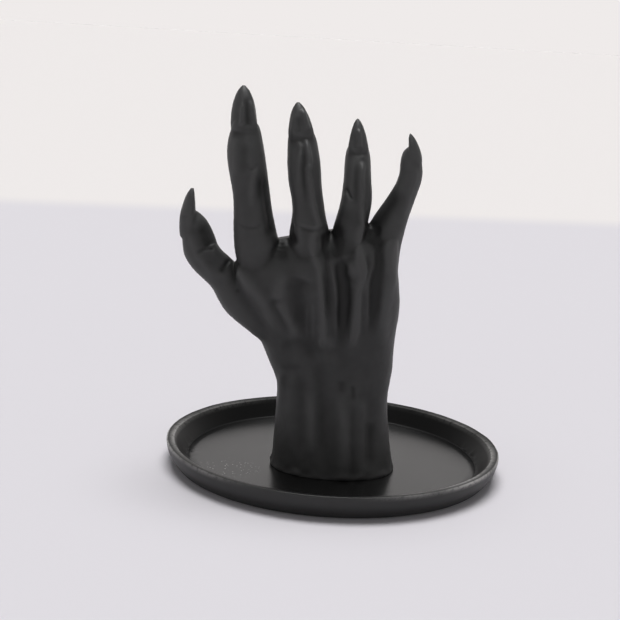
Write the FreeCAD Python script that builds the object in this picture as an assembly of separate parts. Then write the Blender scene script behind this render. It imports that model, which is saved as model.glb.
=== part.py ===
import FreeCAD, Part
import math
import os

# A hand ring holder: a clawed hand, cast in one piece, screwed upright to a round tray.
# All lengths are millimetres and all angles degrees. +Z is up. The back of the hand faces
# -Y, its thumb is on the -X side and its little finger on the +X side. The origin is the
# middle of the tray, on the surface that its pads stand on.

# Tray: the insets are measured inwards from the outside of its rim
TRAY_DIAMETER = 121.2
TRAY_HEIGHT = 9.2
TRAY_FLOOR_THICKNESS = 2.5
TRAY_FOOT_INSET = 3.5
TRAY_FOOT_CHAMFER = 0.6
TRAY_WALL_BULGE = 0.9
TRAY_RIM_LAND = 2.8
TRAY_RIM_ROUND = 0.6
TRAY_WELL_INSET = 7.4
TRAY_WELL_ROUND = 3.5

# Soft pads in shallow recesses under the tray
PAD_DIAMETER = 12.0
PAD_THICKNESS = 1.2
PAD_PROUD = 0.5
PAD_CLEARANCE = 0.2
PAD_EDGE_ROUND = 0.25
PAD_FOOT_INSET = 7.1
PAD_BEARINGS = {
    "front_right": 315.0,
    "back_right": 45.0,
    "back_left": 135.0,
    "front_left": 225.0,
}

# Place of the hand in the tray
HAND_OFFSET_X = 0.3
HAND_OFFSET_Y = -8.5

# Forearm and palm
TRUNK_HEIGHT = 84.0
PALM_WIDTH = 58.0
FOREARM_DEPTH = 35.0
KNUCKLE_SLOPE_DEGREES = 12.0

# Fixing screw, its washer and the threaded insert that it screws into
SCREW_THREAD_DIAMETER = 4.0
SCREW_HEAD_LEDGE = 1.5
SCREW_HEAD_HEIGHT = 2.8
SCREW_HEAD_CHAMFER = 0.4
SCREW_HEAD_INSET = 0.6
SCREW_KEY_WIDTH = 2.5
SCREW_KEY_DEPTH = 1.6
SCREW_KEY_SIDES = 6
SCREW_TIP_CHAMFER = 0.5
SCREW_ENGAGEMENT = 6.5
SCREW_HOLE_CLEARANCE = 0.25
SCREW_RUNOUT = 2.5
WASHER_LEDGE = 1.0
WASHER_BORE_CLEARANCE = 0.15
WASHER_THICKNESS = 0.8
COUNTERBORE_CLEARANCE = 0.5
SEAT_THICKNESS = 2.3
INSERT_WALL = 0.77
INSERT_LENGTH = 8.0
INSERT_GROOVE_WIDTH = 1.4
INSERT_GROOVE_DEPTH = 0.4
INSERT_CHAMFER = 0.3
THREAD_CLEARANCE = 0.03

# Hub of the tray, and the socket in the hand that drops over it
SOCKET_WALL = 4.1
SOCKET_SIDE_CLEARANCE = 0.4
SOCKET_TOP_CLEARANCE = 0.3
HUB_EDGE_CHAMFER = 0.6

# Pins that stop the hand from turning on the tray
PIN_DIAMETER = 3.0
PIN_DEPTH_IN_HUB = 4.0
PIN_DEPTH_IN_HAND = 4.0
PIN_CLEARANCE = 0.03
PIN_END_GAP = 0.3
PIN_CHAMFER = 0.3

# Points around each outline, and degree of the smooth skins
TRUNK_POINTS = 64
DIGIT_POINTS = 24
SKIN_DEGREE = 3

# Each row is one level of the forearm and palm: its height as a share of TRUNK_HEIGHT, its
# left and right edges as shares of PALM_WIDTH, its front and rear edges as shares of
# FOREARM_DEPTH, all from the hand's own axis, and how square its outline is.
TRUNK_LEVEL_SHARES = (
    (0.000, -0.385, 0.378, -0.500, 0.500, 2.15),
    (0.020, -0.376, 0.368, -0.494, 0.500, 2.15),
    (0.090, -0.371, 0.350, -0.480, 0.490, 2.15),
    (0.200, -0.368, 0.323, -0.448, 0.455, 2.15),
    (0.310, -0.361, 0.309, -0.425, 0.420, 2.15),
    (0.380, -0.368, 0.317, -0.415, 0.395, 2.20),
    (0.450, -0.426, 0.333, -0.414, 0.385, 2.25),
    (0.520, -0.462, 0.326, -0.424, 0.380, 2.35),
    (0.595, -0.516, 0.331, -0.447, 0.380, 2.60),
    (0.680, -0.571, 0.351, -0.465, 0.350, 2.90),
    (0.760, -0.618, 0.338, -0.474, 0.285, 3.20),
    (0.840, -0.648, 0.315, -0.474, 0.200, 3.40),
    (0.900, -0.655, 0.314, -0.460, 0.130, 3.20),
    (0.945, -0.650, 0.312, -0.425, 0.070, 3.00),
    (0.990, -0.630, 0.300, -0.350, -0.005, 2.70),
    (1.020, -0.580, 0.275, -0.250, -0.080, 2.40),
)
SLOPE_START_SHARE = 0.55

# Long ridges and hollows on the back of the hand. Each is a straight line from low to high:
# x as a share of PALM_WIDTH and height as a share of TRUNK_HEIGHT, then how far it stands
# out and its half width, as shares of PALM_WIDTH.
BACK_RIDGE_SHARES = {
    "middle_tendon": (-0.075, 0.50, -0.175, 0.97, 0.030, 0.038),
    "ring_tendon": (0.080, 0.52, 0.100, 0.98, 0.030, 0.036),
    "little_tendon": (0.245, 0.52, 0.285, 0.98, 0.018, 0.040),
    "index_tendon": (-0.230, 0.50, -0.440, 0.90, 0.016, 0.060),
    "middle_ring_hollow": (0.005, 0.58, -0.035, 1.08, -0.052, 0.048),
    "index_middle_hollow": (-0.190, 0.48, -0.290, 0.95, -0.026, 0.065),
    "ring_little_hollow": (0.170, 0.60, 0.195, 1.08, -0.036, 0.040),
    "forearm_ridge": (0.090, 0.02, 0.120, 0.42, 0.018, 0.060),
    "forearm_hollow": (0.210, 0.02, 0.200, 0.36, -0.016, 0.050),
    "forearm_left_ridge": (-0.160, 0.02, -0.150, 0.40, 0.012, 0.060),
}

# Mounds and hollow on the palm side, in the same terms
PALM_MOUND_SHARES = {
    "thumb_mound": (-0.200, 0.47, -0.620, 0.90, 0.050, 0.170),
    "little_mound": (0.130, 0.47, 0.250, 0.95, 0.040, 0.120),
    "palm_hollow": (-0.060, 0.58, -0.130, 1.00, -0.045, 0.130),
}
RIDGE_FADE_POWER = 0.5

# Each digit starts at a root inside the palm: its place from the hand's axis as shares of
# PALM_WIDTH and FOREARM_DEPTH, and its height over the tray floor as a share of
# TRUNK_HEIGHT. It leans to the thumb side, pitches to the palm side, and its back is turned
# to the little finger side. Each row of its shares is one station: how far along its
# length, its shift across and its bow to the back as shares of its length, then its half
# width and its half depths to the back and to the pad as shares of its width. Its nail is
# seated at a share of its length and lifted by a share of its width.
DIGITS = {
    "thumb": {
        "root_share": (-0.257, -0.143, 0.508),
        "length": 62.6,
        "width": 12.0,
        "lean": 41.2,
        "pitch": 3.2,
        "turn": -68.0,
        "station_shares": (
            (0.000, 0.000, -0.020, 0.44, 0.40, 0.44),
            (0.160, 0.000, 0.012, 0.60, 0.54, 0.60),
            (0.310, 0.000, 0.042, 0.62, 0.56, 0.60),
            (0.420, 0.000, 0.062, 0.60, 0.61, 0.58),
            (0.500, -0.001, 0.064, 0.57, 0.55, 0.54),
            (0.570, -0.003, 0.058, 0.54, 0.46, 0.48),
            (0.640, -0.005, 0.065, 0.51, 0.49, 0.50),
            (0.730, -0.006, 0.073, 0.50, 0.53, 0.42),
            (0.800, -0.003, 0.063, 0.49, 0.54, 0.50),
            (0.860, 0.000, 0.042, 0.46, 0.41, 0.48),
            (0.910, 0.003, 0.021, 0.43, 0.38, 0.42),
            (0.955, 0.003, 0.008, 0.36, 0.31, 0.32),
            (0.982, 0.001, 0.002, 0.24, 0.21, 0.20),
            (1.000, 0.000, 0.000, 0.10, 0.10, 0.08),
        ),
        "nail": {
            "seat_share": 0.86,
            "lift_share": 0.24,
            "lean": 7.0,
            "length": 16.4,
            "width": 9.0,
            "hook_share": 0.17,
            "bluntness": 2.0,
        },
    },
    "index": {
        "root_share": (-0.295, -0.200, 0.558),
        "length": 78.6,
        "width": 13.5,
        "lean": 15.2,
        "pitch": 8.0,
        "turn": -8.0,
        "station_shares": (
            (0.000, 0.000, 0.000, 0.42, 0.40, 0.42),
            (0.140, -0.017, 0.030, 0.50, 0.45, 0.48),
            (0.280, -0.038, 0.056, 0.55, 0.49, 0.52),
            (0.390, -0.050, 0.074, 0.575, 0.52, 0.55),
            (0.480, -0.043, 0.082, 0.565, 0.50, 0.53),
            (0.560, -0.036, 0.083, 0.505, 0.46, 0.51),
            (0.620, -0.027, 0.082, 0.470, 0.43, 0.48),
            (0.690, -0.019, 0.080, 0.455, 0.42, 0.45),
            (0.760, -0.017, 0.076, 0.475, 0.46, 0.44),
            (0.830, -0.015, 0.066, 0.485, 0.45, 0.42),
            (0.890, -0.012, 0.050, 0.460, 0.42, 0.42),
            (0.930, -0.004, 0.035, 0.410, 0.35, 0.39),
            (0.958, -0.002, 0.023, 0.370, 0.29, 0.37),
            (0.978, -0.001, 0.012, 0.310, 0.22, 0.32),
            (0.993, 0.000, 0.004, 0.200, 0.14, 0.21),
            (1.000, 0.000, 0.000, 0.080, 0.07, 0.08),
        ),
        "nail": {
            "seat_share": 0.925,
            "lift_share": 0.13,
            "lean": 6.2,
            "length": 17.5,
            "width": 9.4,
            "hook_share": 0.16,
            "bluntness": 2.6,
        },
    },
    "middle": {
        "root_share": (-0.098, -0.214, 0.571),
        "length": 73.9,
        "width": 11.9,
        "lean": 9.6,
        "pitch": 9.5,
        "turn": 0.0,
        "station_shares": (
            (0.000, 0.000, 0.000, 0.44, 0.40, 0.44),
            (0.150, -0.010, 0.033, 0.52, 0.47, 0.52),
            (0.290, -0.018, 0.064, 0.57, 0.51, 0.56),
            (0.410, -0.014, 0.085, 0.60, 0.55, 0.60),
            (0.500, -0.010, 0.099, 0.600, 0.54, 0.58),
            (0.570, -0.005, 0.105, 0.485, 0.49, 0.53),
            (0.630, 0.001, 0.107, 0.440, 0.46, 0.50),
            (0.710, -0.003, 0.106, 0.445, 0.45, 0.47),
            (0.770, -0.004, 0.100, 0.475, 0.47, 0.45),
            (0.830, -0.001, 0.086, 0.475, 0.46, 0.43),
            (0.890, 0.000, 0.063, 0.440, 0.41, 0.43),
            (0.930, -0.001, 0.047, 0.425, 0.35, 0.41),
            (0.958, -0.002, 0.035, 0.395, 0.30, 0.39),
            (0.978, -0.002, 0.022, 0.330, 0.23, 0.33),
            (0.993, -0.002, 0.009, 0.210, 0.15, 0.22),
            (1.000, -0.002, 0.000, 0.080, 0.07, 0.08),
        ),
        "nail": {
            "seat_share": 0.925,
            "lift_share": 0.13,
            "lean": 9.8,
            "length": 14.6,
            "width": 9.2,
            "hook_share": 0.17,
            "bluntness": 1.8,
        },
    },
    "ring": {
        "root_share": (0.062, -0.200, 0.581),
        "length": 68.4,
        "width": 10.7,
        "lean": 1.1,
        "pitch": 10.0,
        "turn": 6.0,
        "station_shares": (
            (0.000, 0.000, 0.000, 0.46, 0.44, 0.48),
            (0.160, 0.000, 0.038, 0.53, 0.50, 0.54),
            (0.300, -0.010, 0.070, 0.57, 0.54, 0.58),
            (0.420, -0.029, 0.092, 0.61, 0.58, 0.61),
            (0.530, -0.041, 0.107, 0.57, 0.57, 0.60),
            (0.600, -0.030, 0.111, 0.50, 0.52, 0.56),
            (0.660, -0.016, 0.112, 0.49, 0.48, 0.52),
            (0.720, -0.008, 0.109, 0.485, 0.46, 0.48),
            (0.770, -0.008, 0.101, 0.455, 0.46, 0.45),
            (0.830, -0.008, 0.087, 0.420, 0.44, 0.43),
            (0.890, -0.007, 0.062, 0.415, 0.42, 0.43),
            (0.930, -0.006, 0.042, 0.390, 0.35, 0.40),
            (0.958, -0.005, 0.028, 0.360, 0.28, 0.37),
            (0.978, -0.004, 0.015, 0.300, 0.22, 0.30),
            (0.993, -0.002, 0.004, 0.190, 0.14, 0.19),
            (1.000, 0.000, 0.000, 0.080, 0.07, 0.08),
        ),
        "nail": {
            "seat_share": 0.91,
            "lift_share": 0.13,
            "lean": 3.1,
            "length": 14.2,
            "width": 7.7,
            "hook_share": 0.17,
            "bluntness": 1.5,
        },
    },
    "little": {
        "root_share": (0.174, -0.114, 0.596),
        "length": 67.3,
        "width": 9.6,
        "lean": -9.2,
        "pitch": 3.0,
        "turn": 55.0,
        "station_shares": (
            (0.000, 0.000, 0.000, 0.66, 0.62, 0.62),
            (0.150, -0.018, 0.004, 0.72, 0.70, 0.70),
            (0.300, -0.040, -0.006, 0.75, 0.71, 0.74),
            (0.430, -0.056, -0.016, 0.75, 0.70, 0.73),
            (0.530, -0.058, -0.013, 0.70, 0.66, 0.66),
            (0.620, -0.048, 0.000, 0.60, 0.58, 0.54),
            (0.700, -0.031, 0.013, 0.50, 0.49, 0.42),
            (0.770, -0.017, 0.024, 0.46, 0.43, 0.37),
            (0.820, -0.008, 0.033, 0.45, 0.40, 0.37),
            (0.870, -0.005, 0.034, 0.43, 0.38, 0.40),
            (0.920, -0.006, 0.023, 0.41, 0.34, 0.39),
            (0.955, -0.005, 0.011, 0.36, 0.29, 0.34),
            (0.980, -0.003, 0.003, 0.26, 0.22, 0.27),
            (0.994, -0.001, 0.001, 0.15, 0.13, 0.16),
            (1.000, 0.000, 0.000, 0.08, 0.08, 0.09),
        ),
        "nail": {
            "seat_share": 0.90,
            "lift_share": 0.14,
            "lean": 0.0,
            "length": 11.3,
            "width": 6.6,
            "hook_share": 0.26,
            "bluntness": 1.6,
        },
    },
}
DIGIT_SQUARENESS = 2.1

# Shape that the nails have in common: the stations along their length, then shares of the
# width of the nail
NAIL_STATION_SHARES = (0.0, 0.12, 0.27, 0.42, 0.57, 0.71, 0.83, 0.92, 0.975, 1.0)
NAIL_ROOT_WIDTH_SHARE = 0.90
NAIL_SWELL_SHARE = 0.27
NAIL_TIP_WIDTH_SHARE = 0.10
NAIL_BACK_SHARE = 0.34
NAIL_PAD_SHARE = 0.30
NAIL_TAPER_POWER = 0.60
NAIL_SQUARENESS = 1.75

# Sizes and levels worked out from the ones above
TRAY_RIM_RADIUS = TRAY_DIAMETER / 2
TRAY_FOOT_RADIUS = TRAY_RIM_RADIUS - TRAY_FOOT_INSET
TRAY_WELL_RADIUS = TRAY_RIM_RADIUS - TRAY_WELL_INSET
PAD_CIRCLE_RADIUS = TRAY_FOOT_RADIUS - PAD_FOOT_INSET - PAD_DIAMETER / 2
SOCKET_DIAMETER = FOREARM_DEPTH - 2 * SOCKET_WALL
HUB_DIAMETER = SOCKET_DIAMETER - 2 * SOCKET_SIDE_CLEARANCE
SCREW_HEAD_DIAMETER = SCREW_THREAD_DIAMETER + 2 * SCREW_HEAD_LEDGE
WASHER_DIAMETER = SCREW_HEAD_DIAMETER + 2 * WASHER_LEDGE
WASHER_BORE = SCREW_THREAD_DIAMETER + 2 * WASHER_BORE_CLEARANCE
COUNTERBORE_DIAMETER = WASHER_DIAMETER + 2 * COUNTERBORE_CLEARANCE
SCREW_HOLE_DIAMETER = SCREW_THREAD_DIAMETER + 2 * SCREW_HOLE_CLEARANCE
INSERT_BORE = SCREW_THREAD_DIAMETER + 2 * THREAD_CLEARANCE
INSERT_DIAMETER = INSERT_BORE + 2 * INSERT_WALL
PIN_HOLE_DIAMETER = PIN_DIAMETER + 2 * PIN_CLEARANCE
PIN_SPACING = (COUNTERBORE_DIAMETER + HUB_DIAMETER) / 2
TRAY_UNDERSIDE_Z = PAD_PROUD
TRAY_FLOOR_Z = TRAY_UNDERSIDE_Z + TRAY_FLOOR_THICKNESS
SCREW_HEAD_Z = TRAY_UNDERSIDE_Z + SCREW_HEAD_INSET
WASHER_Z = SCREW_HEAD_Z + SCREW_HEAD_HEIGHT
COUNTERBORE_TOP_Z = WASHER_Z + WASHER_THICKNESS
HUB_TOP_Z = COUNTERBORE_TOP_Z + SEAT_THICKNESS
SOCKET_TOP_Z = HUB_TOP_Z + SOCKET_TOP_CLEARANCE
SCREW_TIP_Z = SOCKET_TOP_Z + SCREW_ENGAGEMENT
INSERT_TOP_Z = SOCKET_TOP_Z + INSERT_LENGTH
PIN_BOTTOM_Z = HUB_TOP_Z - PIN_DEPTH_IN_HUB
PIN_TOP_Z = SOCKET_TOP_Z + PIN_DEPTH_IN_HAND
CUT_OVERRUN = TRAY_HEIGHT

ORIGIN = FreeCAD.Vector()
UP = FreeCAD.Vector(0, 0, 1)
BACK_OF_HAND = FreeCAD.Vector(0, -1, 0)
HAND_AXIS = FreeCAD.Vector(HAND_OFFSET_X, HAND_OFFSET_Y, 0)


def turned(edges, axis_place):
    """Solid turned about an upright axis from the edges of its half outline."""
    solid = Part.Face(Part.Wire(edges)).revolve(ORIGIN, UP, 360)
    solid.translate(axis_place)
    return solid


def half_outline(points):
    """Straight edges around a half outline of (radius, height) points, closed at its end."""
    corners = [FreeCAD.Vector(radius, 0, height) for radius, height in points]
    return Part.makePolygon(corners + [corners[0]]).Edges


def upright_cylinder(diameter, bottom_z, top_z, axis_place):
    """Upright round bar between two levels."""
    place = FreeCAD.Vector(axis_place.x, axis_place.y, bottom_z)
    return Part.makeCylinder(diameter / 2, top_z - bottom_z, place, UP)


def superellipse(angle, squareness):
    """Point of a unit rounded outline, at an angle in radians."""
    across = math.cos(angle)
    out = math.sin(angle)
    power = 2.0 / squareness
    return (math.copysign(abs(across) ** power, across), math.copysign(abs(out) ** power, out))


def skinned(outlines):
    """Closed solid with a smooth skin drawn over rings of points, flat at its two ends."""
    around = len(outlines[0])
    rows = len(outlines)
    poles = [[outlines[row][number] for row in range(rows)] for number in range(around)]
    end_repeats = [SKIN_DEGREE + 1]
    inner_knots = rows - SKIN_DEGREE - 1
    surface = Part.BSplineSurface()
    surface.buildFromPolesMultsKnots(
        poles,
        [1] * (around + 1),
        end_repeats + [1] * inner_knots + end_repeats,
        list(range(around + 1)),
        list(range(inner_knots + 2)),
        True,
        False,
        SKIN_DEGREE,
        SKIN_DEGREE,
    )
    skin = surface.toShape()
    ends = [edge for edge in skin.Edges if edge.isClosed()]
    caps = [Part.Face(Part.Wire(edge)) for edge in ends]
    shell = Part.makeShell([skin] + caps)
    shell.sewShape()
    return Part.makeSolid(shell)


def ridge_rise(x_share, height_share, ridge):
    """How far one ridge lifts the back or the palm at a place, as a share of PALM_WIDTH."""
    low_x, low_height, high_x, high_height, rise, half_width = ridge
    along = (height_share - low_height) / (high_height - low_height)
    if along <= 0 or along >= 1:
        return 0.0
    middle = low_x + (high_x - low_x) * along
    fade = math.sin(math.pi * along) ** RIDGE_FADE_POWER
    return rise * fade * math.exp(-((x_share - middle) / half_width) ** 2)


def trunk_outline(level):
    """Outline of the forearm or palm at one level."""
    height_share, left, right, front, rear, squareness = level
    slope_share = max(0.0, (height_share - SLOPE_START_SHARE) / (1.0 - SLOPE_START_SHARE))
    slope = math.tan(math.radians(KNUCKLE_SLOPE_DEGREES * slope_share))
    middle_x = PALM_WIDTH * (left + right) / 2
    half_width = PALM_WIDTH * (right - left) / 2
    middle_y = FOREARM_DEPTH * (front + rear) / 2
    half_depth = FOREARM_DEPTH * (rear - front) / 2
    points = []
    for step in range(TRUNK_POINTS):
        across, out = superellipse(2 * math.pi * step / TRUNK_POINTS, squareness)
        x = middle_x + half_width * across
        y = middle_y + half_depth * out
        z = TRAY_FLOOR_Z + TRUNK_HEIGHT * height_share + slope * (x - middle_x)
        ridges = BACK_RIDGE_SHARES if out < 0 else PALM_MOUND_SHARES
        for ridge in ridges.values():
            y += PALM_WIDTH * ridge_rise(x / PALM_WIDTH, height_share, ridge) * out
        points.append(HAND_AXIS + FreeCAD.Vector(x, y, z))
    return points


def limb_frame(lean, pitch, turn):
    """Directions along a digit, out of its back, and across it."""
    lean = math.radians(lean)
    pitch = math.radians(pitch)
    turn = math.radians(turn)
    along = FreeCAD.Vector(-math.sin(lean), math.sin(pitch), math.cos(lean))
    along.normalize()
    front = BACK_OF_HAND - along * BACK_OF_HAND.dot(along)
    front.normalize()
    side = along.cross(front)
    back = front * math.cos(turn) + side * math.sin(turn)
    return along, back, along.cross(back)


def limb(places, across, halves, squareness):
    """Solid through rounded sections square to a line of places."""
    outlines = []
    last = len(places) - 1
    for number, place in enumerate(places):
        tangent = places[min(number + 1, last)] - places[max(number - 1, 0)]
        tangent.normalize()
        side = across - tangent * across.dot(tangent)
        side.normalize()
        back = side.cross(tangent)
        half_width, half_back, half_pad = halves[number]
        points = []
        for step in range(DIGIT_POINTS):
            u, v = superellipse(2 * math.pi * step / DIGIT_POINTS, squareness)
            depth = half_back if v > 0 else half_pad
            points.append(place + side * (half_width * u) + back * (depth * v))
        outlines.append(points)
    return skinned(outlines)


def digit_places(digit):
    """Line of places along the middle of a digit, and the direction across it."""
    along, back, across = limb_frame(digit["lean"], digit["pitch"], digit["turn"])
    x_share, y_share, height_share = digit["root_share"]
    height = TRAY_FLOOR_Z + TRUNK_HEIGHT * height_share
    root = HAND_AXIS + FreeCAD.Vector(PALM_WIDTH * x_share, FOREARM_DEPTH * y_share, height)
    length = digit["length"]
    places = []
    for share, shift, bow, *_ in digit["station_shares"]:
        offset = along * share + across * shift + back * bow
        places.append(root + offset * length)
    return places, across


def digit_solid(digit):
    """Flesh of one digit."""
    places, across = digit_places(digit)
    halves = []
    for *_, half_width, half_back, half_pad in digit["station_shares"]:
        width = digit["width"]
        halves.append((width * half_width, width * half_back, width * half_pad))
    return limb(places, across, halves, DIGIT_SQUARENESS)


def nail_seat(digit):
    """Place on the middle line of a digit where its nail is rooted."""
    places, _ = digit_places(digit)
    shares = [row[0] for row in digit["station_shares"]]
    seat_share = digit["nail"]["seat_share"]
    above = next(number for number, share in enumerate(shares) if share >= seat_share)
    below = above - 1
    part = (seat_share - shares[below]) / (shares[above] - shares[below])
    return places[below] + (places[above] - places[below]) * part


def nail_solid(digit):
    """Long pointed nail of one digit."""
    nail = digit["nail"]
    along, back, across = limb_frame(nail["lean"], digit["pitch"], digit["turn"])
    root = nail_seat(digit) + back * (digit["width"] * nail["lift_share"])
    spine = []
    halves = []
    for share in NAIL_STATION_SHARES:
        hook = nail["hook_share"] * share ** 2
        spine.append(root + (along * share - back * hook) * nail["length"])
        taper = (1.0 - share ** nail["bluntness"]) ** NAIL_TAPER_POWER
        root_part = min(1.0, share / NAIL_SWELL_SHARE)
        swell = NAIL_ROOT_WIDTH_SHARE + (1.0 - NAIL_ROOT_WIDTH_SHARE) * root_part
        width = nail["width"] * max(NAIL_TIP_WIDTH_SHARE, taper * swell)
        halves.append((width / 2, width * NAIL_BACK_SHARE, width * NAIL_PAD_SHARE))
    return limb(spine, across, halves, NAIL_SQUARENESS)


def hand():
    """The whole casting: forearm, palm, digits and nails, hollowed below for its fixing."""
    body = skinned([trunk_outline(level) for level in TRUNK_LEVEL_SHARES])
    for digit in DIGITS.values():
        body = body.fuse(digit_solid(digit))
        body = body.fuse(nail_solid(digit))
    hole_top_z = INSERT_TOP_Z + SCREW_RUNOUT
    body = body.cut(upright_cylinder(SOCKET_DIAMETER, -CUT_OVERRUN, SOCKET_TOP_Z, HAND_AXIS))
    body = body.cut(upright_cylinder(INSERT_DIAMETER, -CUT_OVERRUN, hole_top_z, HAND_AXIS))
    for place in pin_places():
        hole_top_z = PIN_TOP_Z + PIN_END_GAP
        body = body.cut(upright_cylinder(PIN_HOLE_DIAMETER, -CUT_OVERRUN, hole_top_z, place))
    return body


def ring_edge(solid, radius, height):
    """Round edge of a turned solid that lies nearest to a radius and height."""
    rings = [edge for edge in solid.Edges if isinstance(edge.Curve, Part.Circle)]
    return min(rings, key=lambda ring: math.hypot(ring.Curve.Radius - radius, ring.Curve.Center.z - height))


def tray_shell():
    """Round tray with a bulging outer wall, a flat rim and a rounded well."""
    rim_inner_radius = TRAY_RIM_RADIUS - TRAY_RIM_LAND
    centre_below = FreeCAD.Vector(0, 0, TRAY_UNDERSIDE_Z)
    foot_below = FreeCAD.Vector(TRAY_FOOT_RADIUS - TRAY_FOOT_CHAMFER, 0, TRAY_UNDERSIDE_Z)
    foot_side = FreeCAD.Vector(TRAY_FOOT_RADIUS, 0, TRAY_UNDERSIDE_Z + TRAY_FOOT_CHAMFER)
    rim_outer = FreeCAD.Vector(TRAY_RIM_RADIUS, 0, TRAY_HEIGHT)
    rim_inner = FreeCAD.Vector(rim_inner_radius, 0, TRAY_HEIGHT)
    well = FreeCAD.Vector(TRAY_WELL_RADIUS, 0, TRAY_FLOOR_Z)
    centre_above = FreeCAD.Vector(0, 0, TRAY_FLOOR_Z)
    wall_rise = rim_outer - foot_side
    wall_out = FreeCAD.Vector(wall_rise.z, 0, -wall_rise.x)
    wall_out.normalize()
    wall_middle = foot_side + wall_rise / 2 + wall_out * TRAY_WALL_BULGE
    edges = [
        Part.makeLine(centre_below, foot_below),
        Part.makeLine(foot_below, foot_side),
        Part.Arc(foot_side, wall_middle, rim_outer).toShape(),
        Part.makeLine(rim_outer, rim_inner),
        Part.makeLine(rim_inner, well),
        Part.makeLine(well, centre_above),
        Part.makeLine(centre_above, centre_below),
    ]
    shell = turned(edges, ORIGIN)
    rim_edges = [
        ring_edge(shell, TRAY_RIM_RADIUS, TRAY_HEIGHT),
        ring_edge(shell, rim_inner_radius, TRAY_HEIGHT),
    ]
    shell = shell.makeFillet(TRAY_RIM_ROUND, rim_edges)
    return shell.makeFillet(TRAY_WELL_ROUND, [ring_edge(shell, TRAY_WELL_RADIUS, TRAY_FLOOR_Z)])


def tray():
    """Tray with the hub that the hand drops over, and its holes and recesses."""
    hub_radius = HUB_DIAMETER / 2
    hub_points = (
        (0, TRAY_UNDERSIDE_Z),
        (hub_radius, TRAY_UNDERSIDE_Z),
        (hub_radius, HUB_TOP_Z - HUB_EDGE_CHAMFER),
        (hub_radius - HUB_EDGE_CHAMFER, HUB_TOP_Z),
        (0, HUB_TOP_Z),
    )
    body = tray_shell().fuse(turned(half_outline(hub_points), HAND_AXIS))
    hole_top_z = HUB_TOP_Z + CUT_OVERRUN
    body = body.cut(upright_cylinder(COUNTERBORE_DIAMETER, -CUT_OVERRUN, COUNTERBORE_TOP_Z, HAND_AXIS))
    body = body.cut(upright_cylinder(SCREW_HOLE_DIAMETER, -CUT_OVERRUN, hole_top_z, HAND_AXIS))
    for place in pin_places():
        body = body.cut(upright_cylinder(PIN_HOLE_DIAMETER, PIN_BOTTOM_Z, hole_top_z, place))
    for place in pad_places().values():
        recess_diameter = PAD_DIAMETER + 2 * PAD_CLEARANCE
        body = body.cut(upright_cylinder(recess_diameter, -CUT_OVERRUN, PAD_THICKNESS, place))
    return body


def pad_places():
    """Middle of each pad under the tray, by name."""
    places = {}
    for name, bearing in PAD_BEARINGS.items():
        angle = math.radians(bearing)
        places[name] = FreeCAD.Vector(math.cos(angle), math.sin(angle), 0) * PAD_CIRCLE_RADIUS
    return places


def pad(place):
    """Soft round pad with a slightly rounded lower edge."""
    radius = PAD_DIAMETER / 2
    points = (
        (0, 0),
        (radius - PAD_EDGE_ROUND, 0),
        (radius, PAD_EDGE_ROUND),
        (radius, PAD_THICKNESS),
        (0, PAD_THICKNESS),
    )
    return turned(half_outline(points), place)


def pin_places():
    """Middles of the two pins, left and right of the screw."""
    reach = FreeCAD.Vector(PIN_SPACING / 2, 0, 0)
    return HAND_AXIS - reach, HAND_AXIS + reach


def pin(place):
    """Plain dowel pin with chamfered ends."""
    radius = PIN_DIAMETER / 2
    points = (
        (0, PIN_BOTTOM_Z),
        (radius - PIN_CHAMFER, PIN_BOTTOM_Z),
        (radius, PIN_BOTTOM_Z + PIN_CHAMFER),
        (radius, PIN_TOP_Z - PIN_CHAMFER),
        (radius - PIN_CHAMFER, PIN_TOP_Z),
        (0, PIN_TOP_Z),
    )
    return turned(half_outline(points), place)


def washer():
    """Flat washer between the screw head and the tray."""
    points = (
        (WASHER_BORE / 2, WASHER_Z),
        (WASHER_DIAMETER / 2, WASHER_Z),
        (WASHER_DIAMETER / 2, COUNTERBORE_TOP_Z),
        (WASHER_BORE / 2, COUNTERBORE_TOP_Z),
    )
    return turned(half_outline(points), HAND_AXIS)


def base_screw():
    """Machine screw with a low round head and a hexagon socket, head down."""
    head_radius = SCREW_HEAD_DIAMETER / 2
    thread_radius = SCREW_THREAD_DIAMETER / 2
    points = (
        (0, SCREW_HEAD_Z),
        (head_radius - SCREW_HEAD_CHAMFER, SCREW_HEAD_Z),
        (head_radius, SCREW_HEAD_Z + SCREW_HEAD_CHAMFER),
        (head_radius, WASHER_Z),
        (thread_radius, WASHER_Z),
        (thread_radius, SCREW_TIP_Z - SCREW_TIP_CHAMFER),
        (thread_radius - SCREW_TIP_CHAMFER, SCREW_TIP_Z),
        (0, SCREW_TIP_Z),
    )
    body = turned(half_outline(points), HAND_AXIS)
    side_angle = 2 * math.pi / SCREW_KEY_SIDES
    corner_radius = SCREW_KEY_WIDTH / 2 / math.cos(side_angle / 2)
    below = HAND_AXIS - UP * CUT_OVERRUN
    corners = []
    for number in range(SCREW_KEY_SIDES + 1):
        direction = FreeCAD.Vector(math.cos(side_angle * number), math.sin(side_angle * number), 0)
        corners.append(below + direction * corner_radius)
    key = Part.Face(Part.makePolygon(corners))
    return body.cut(key.extrude(UP * (CUT_OVERRUN + SCREW_HEAD_Z + SCREW_KEY_DEPTH)))


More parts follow.
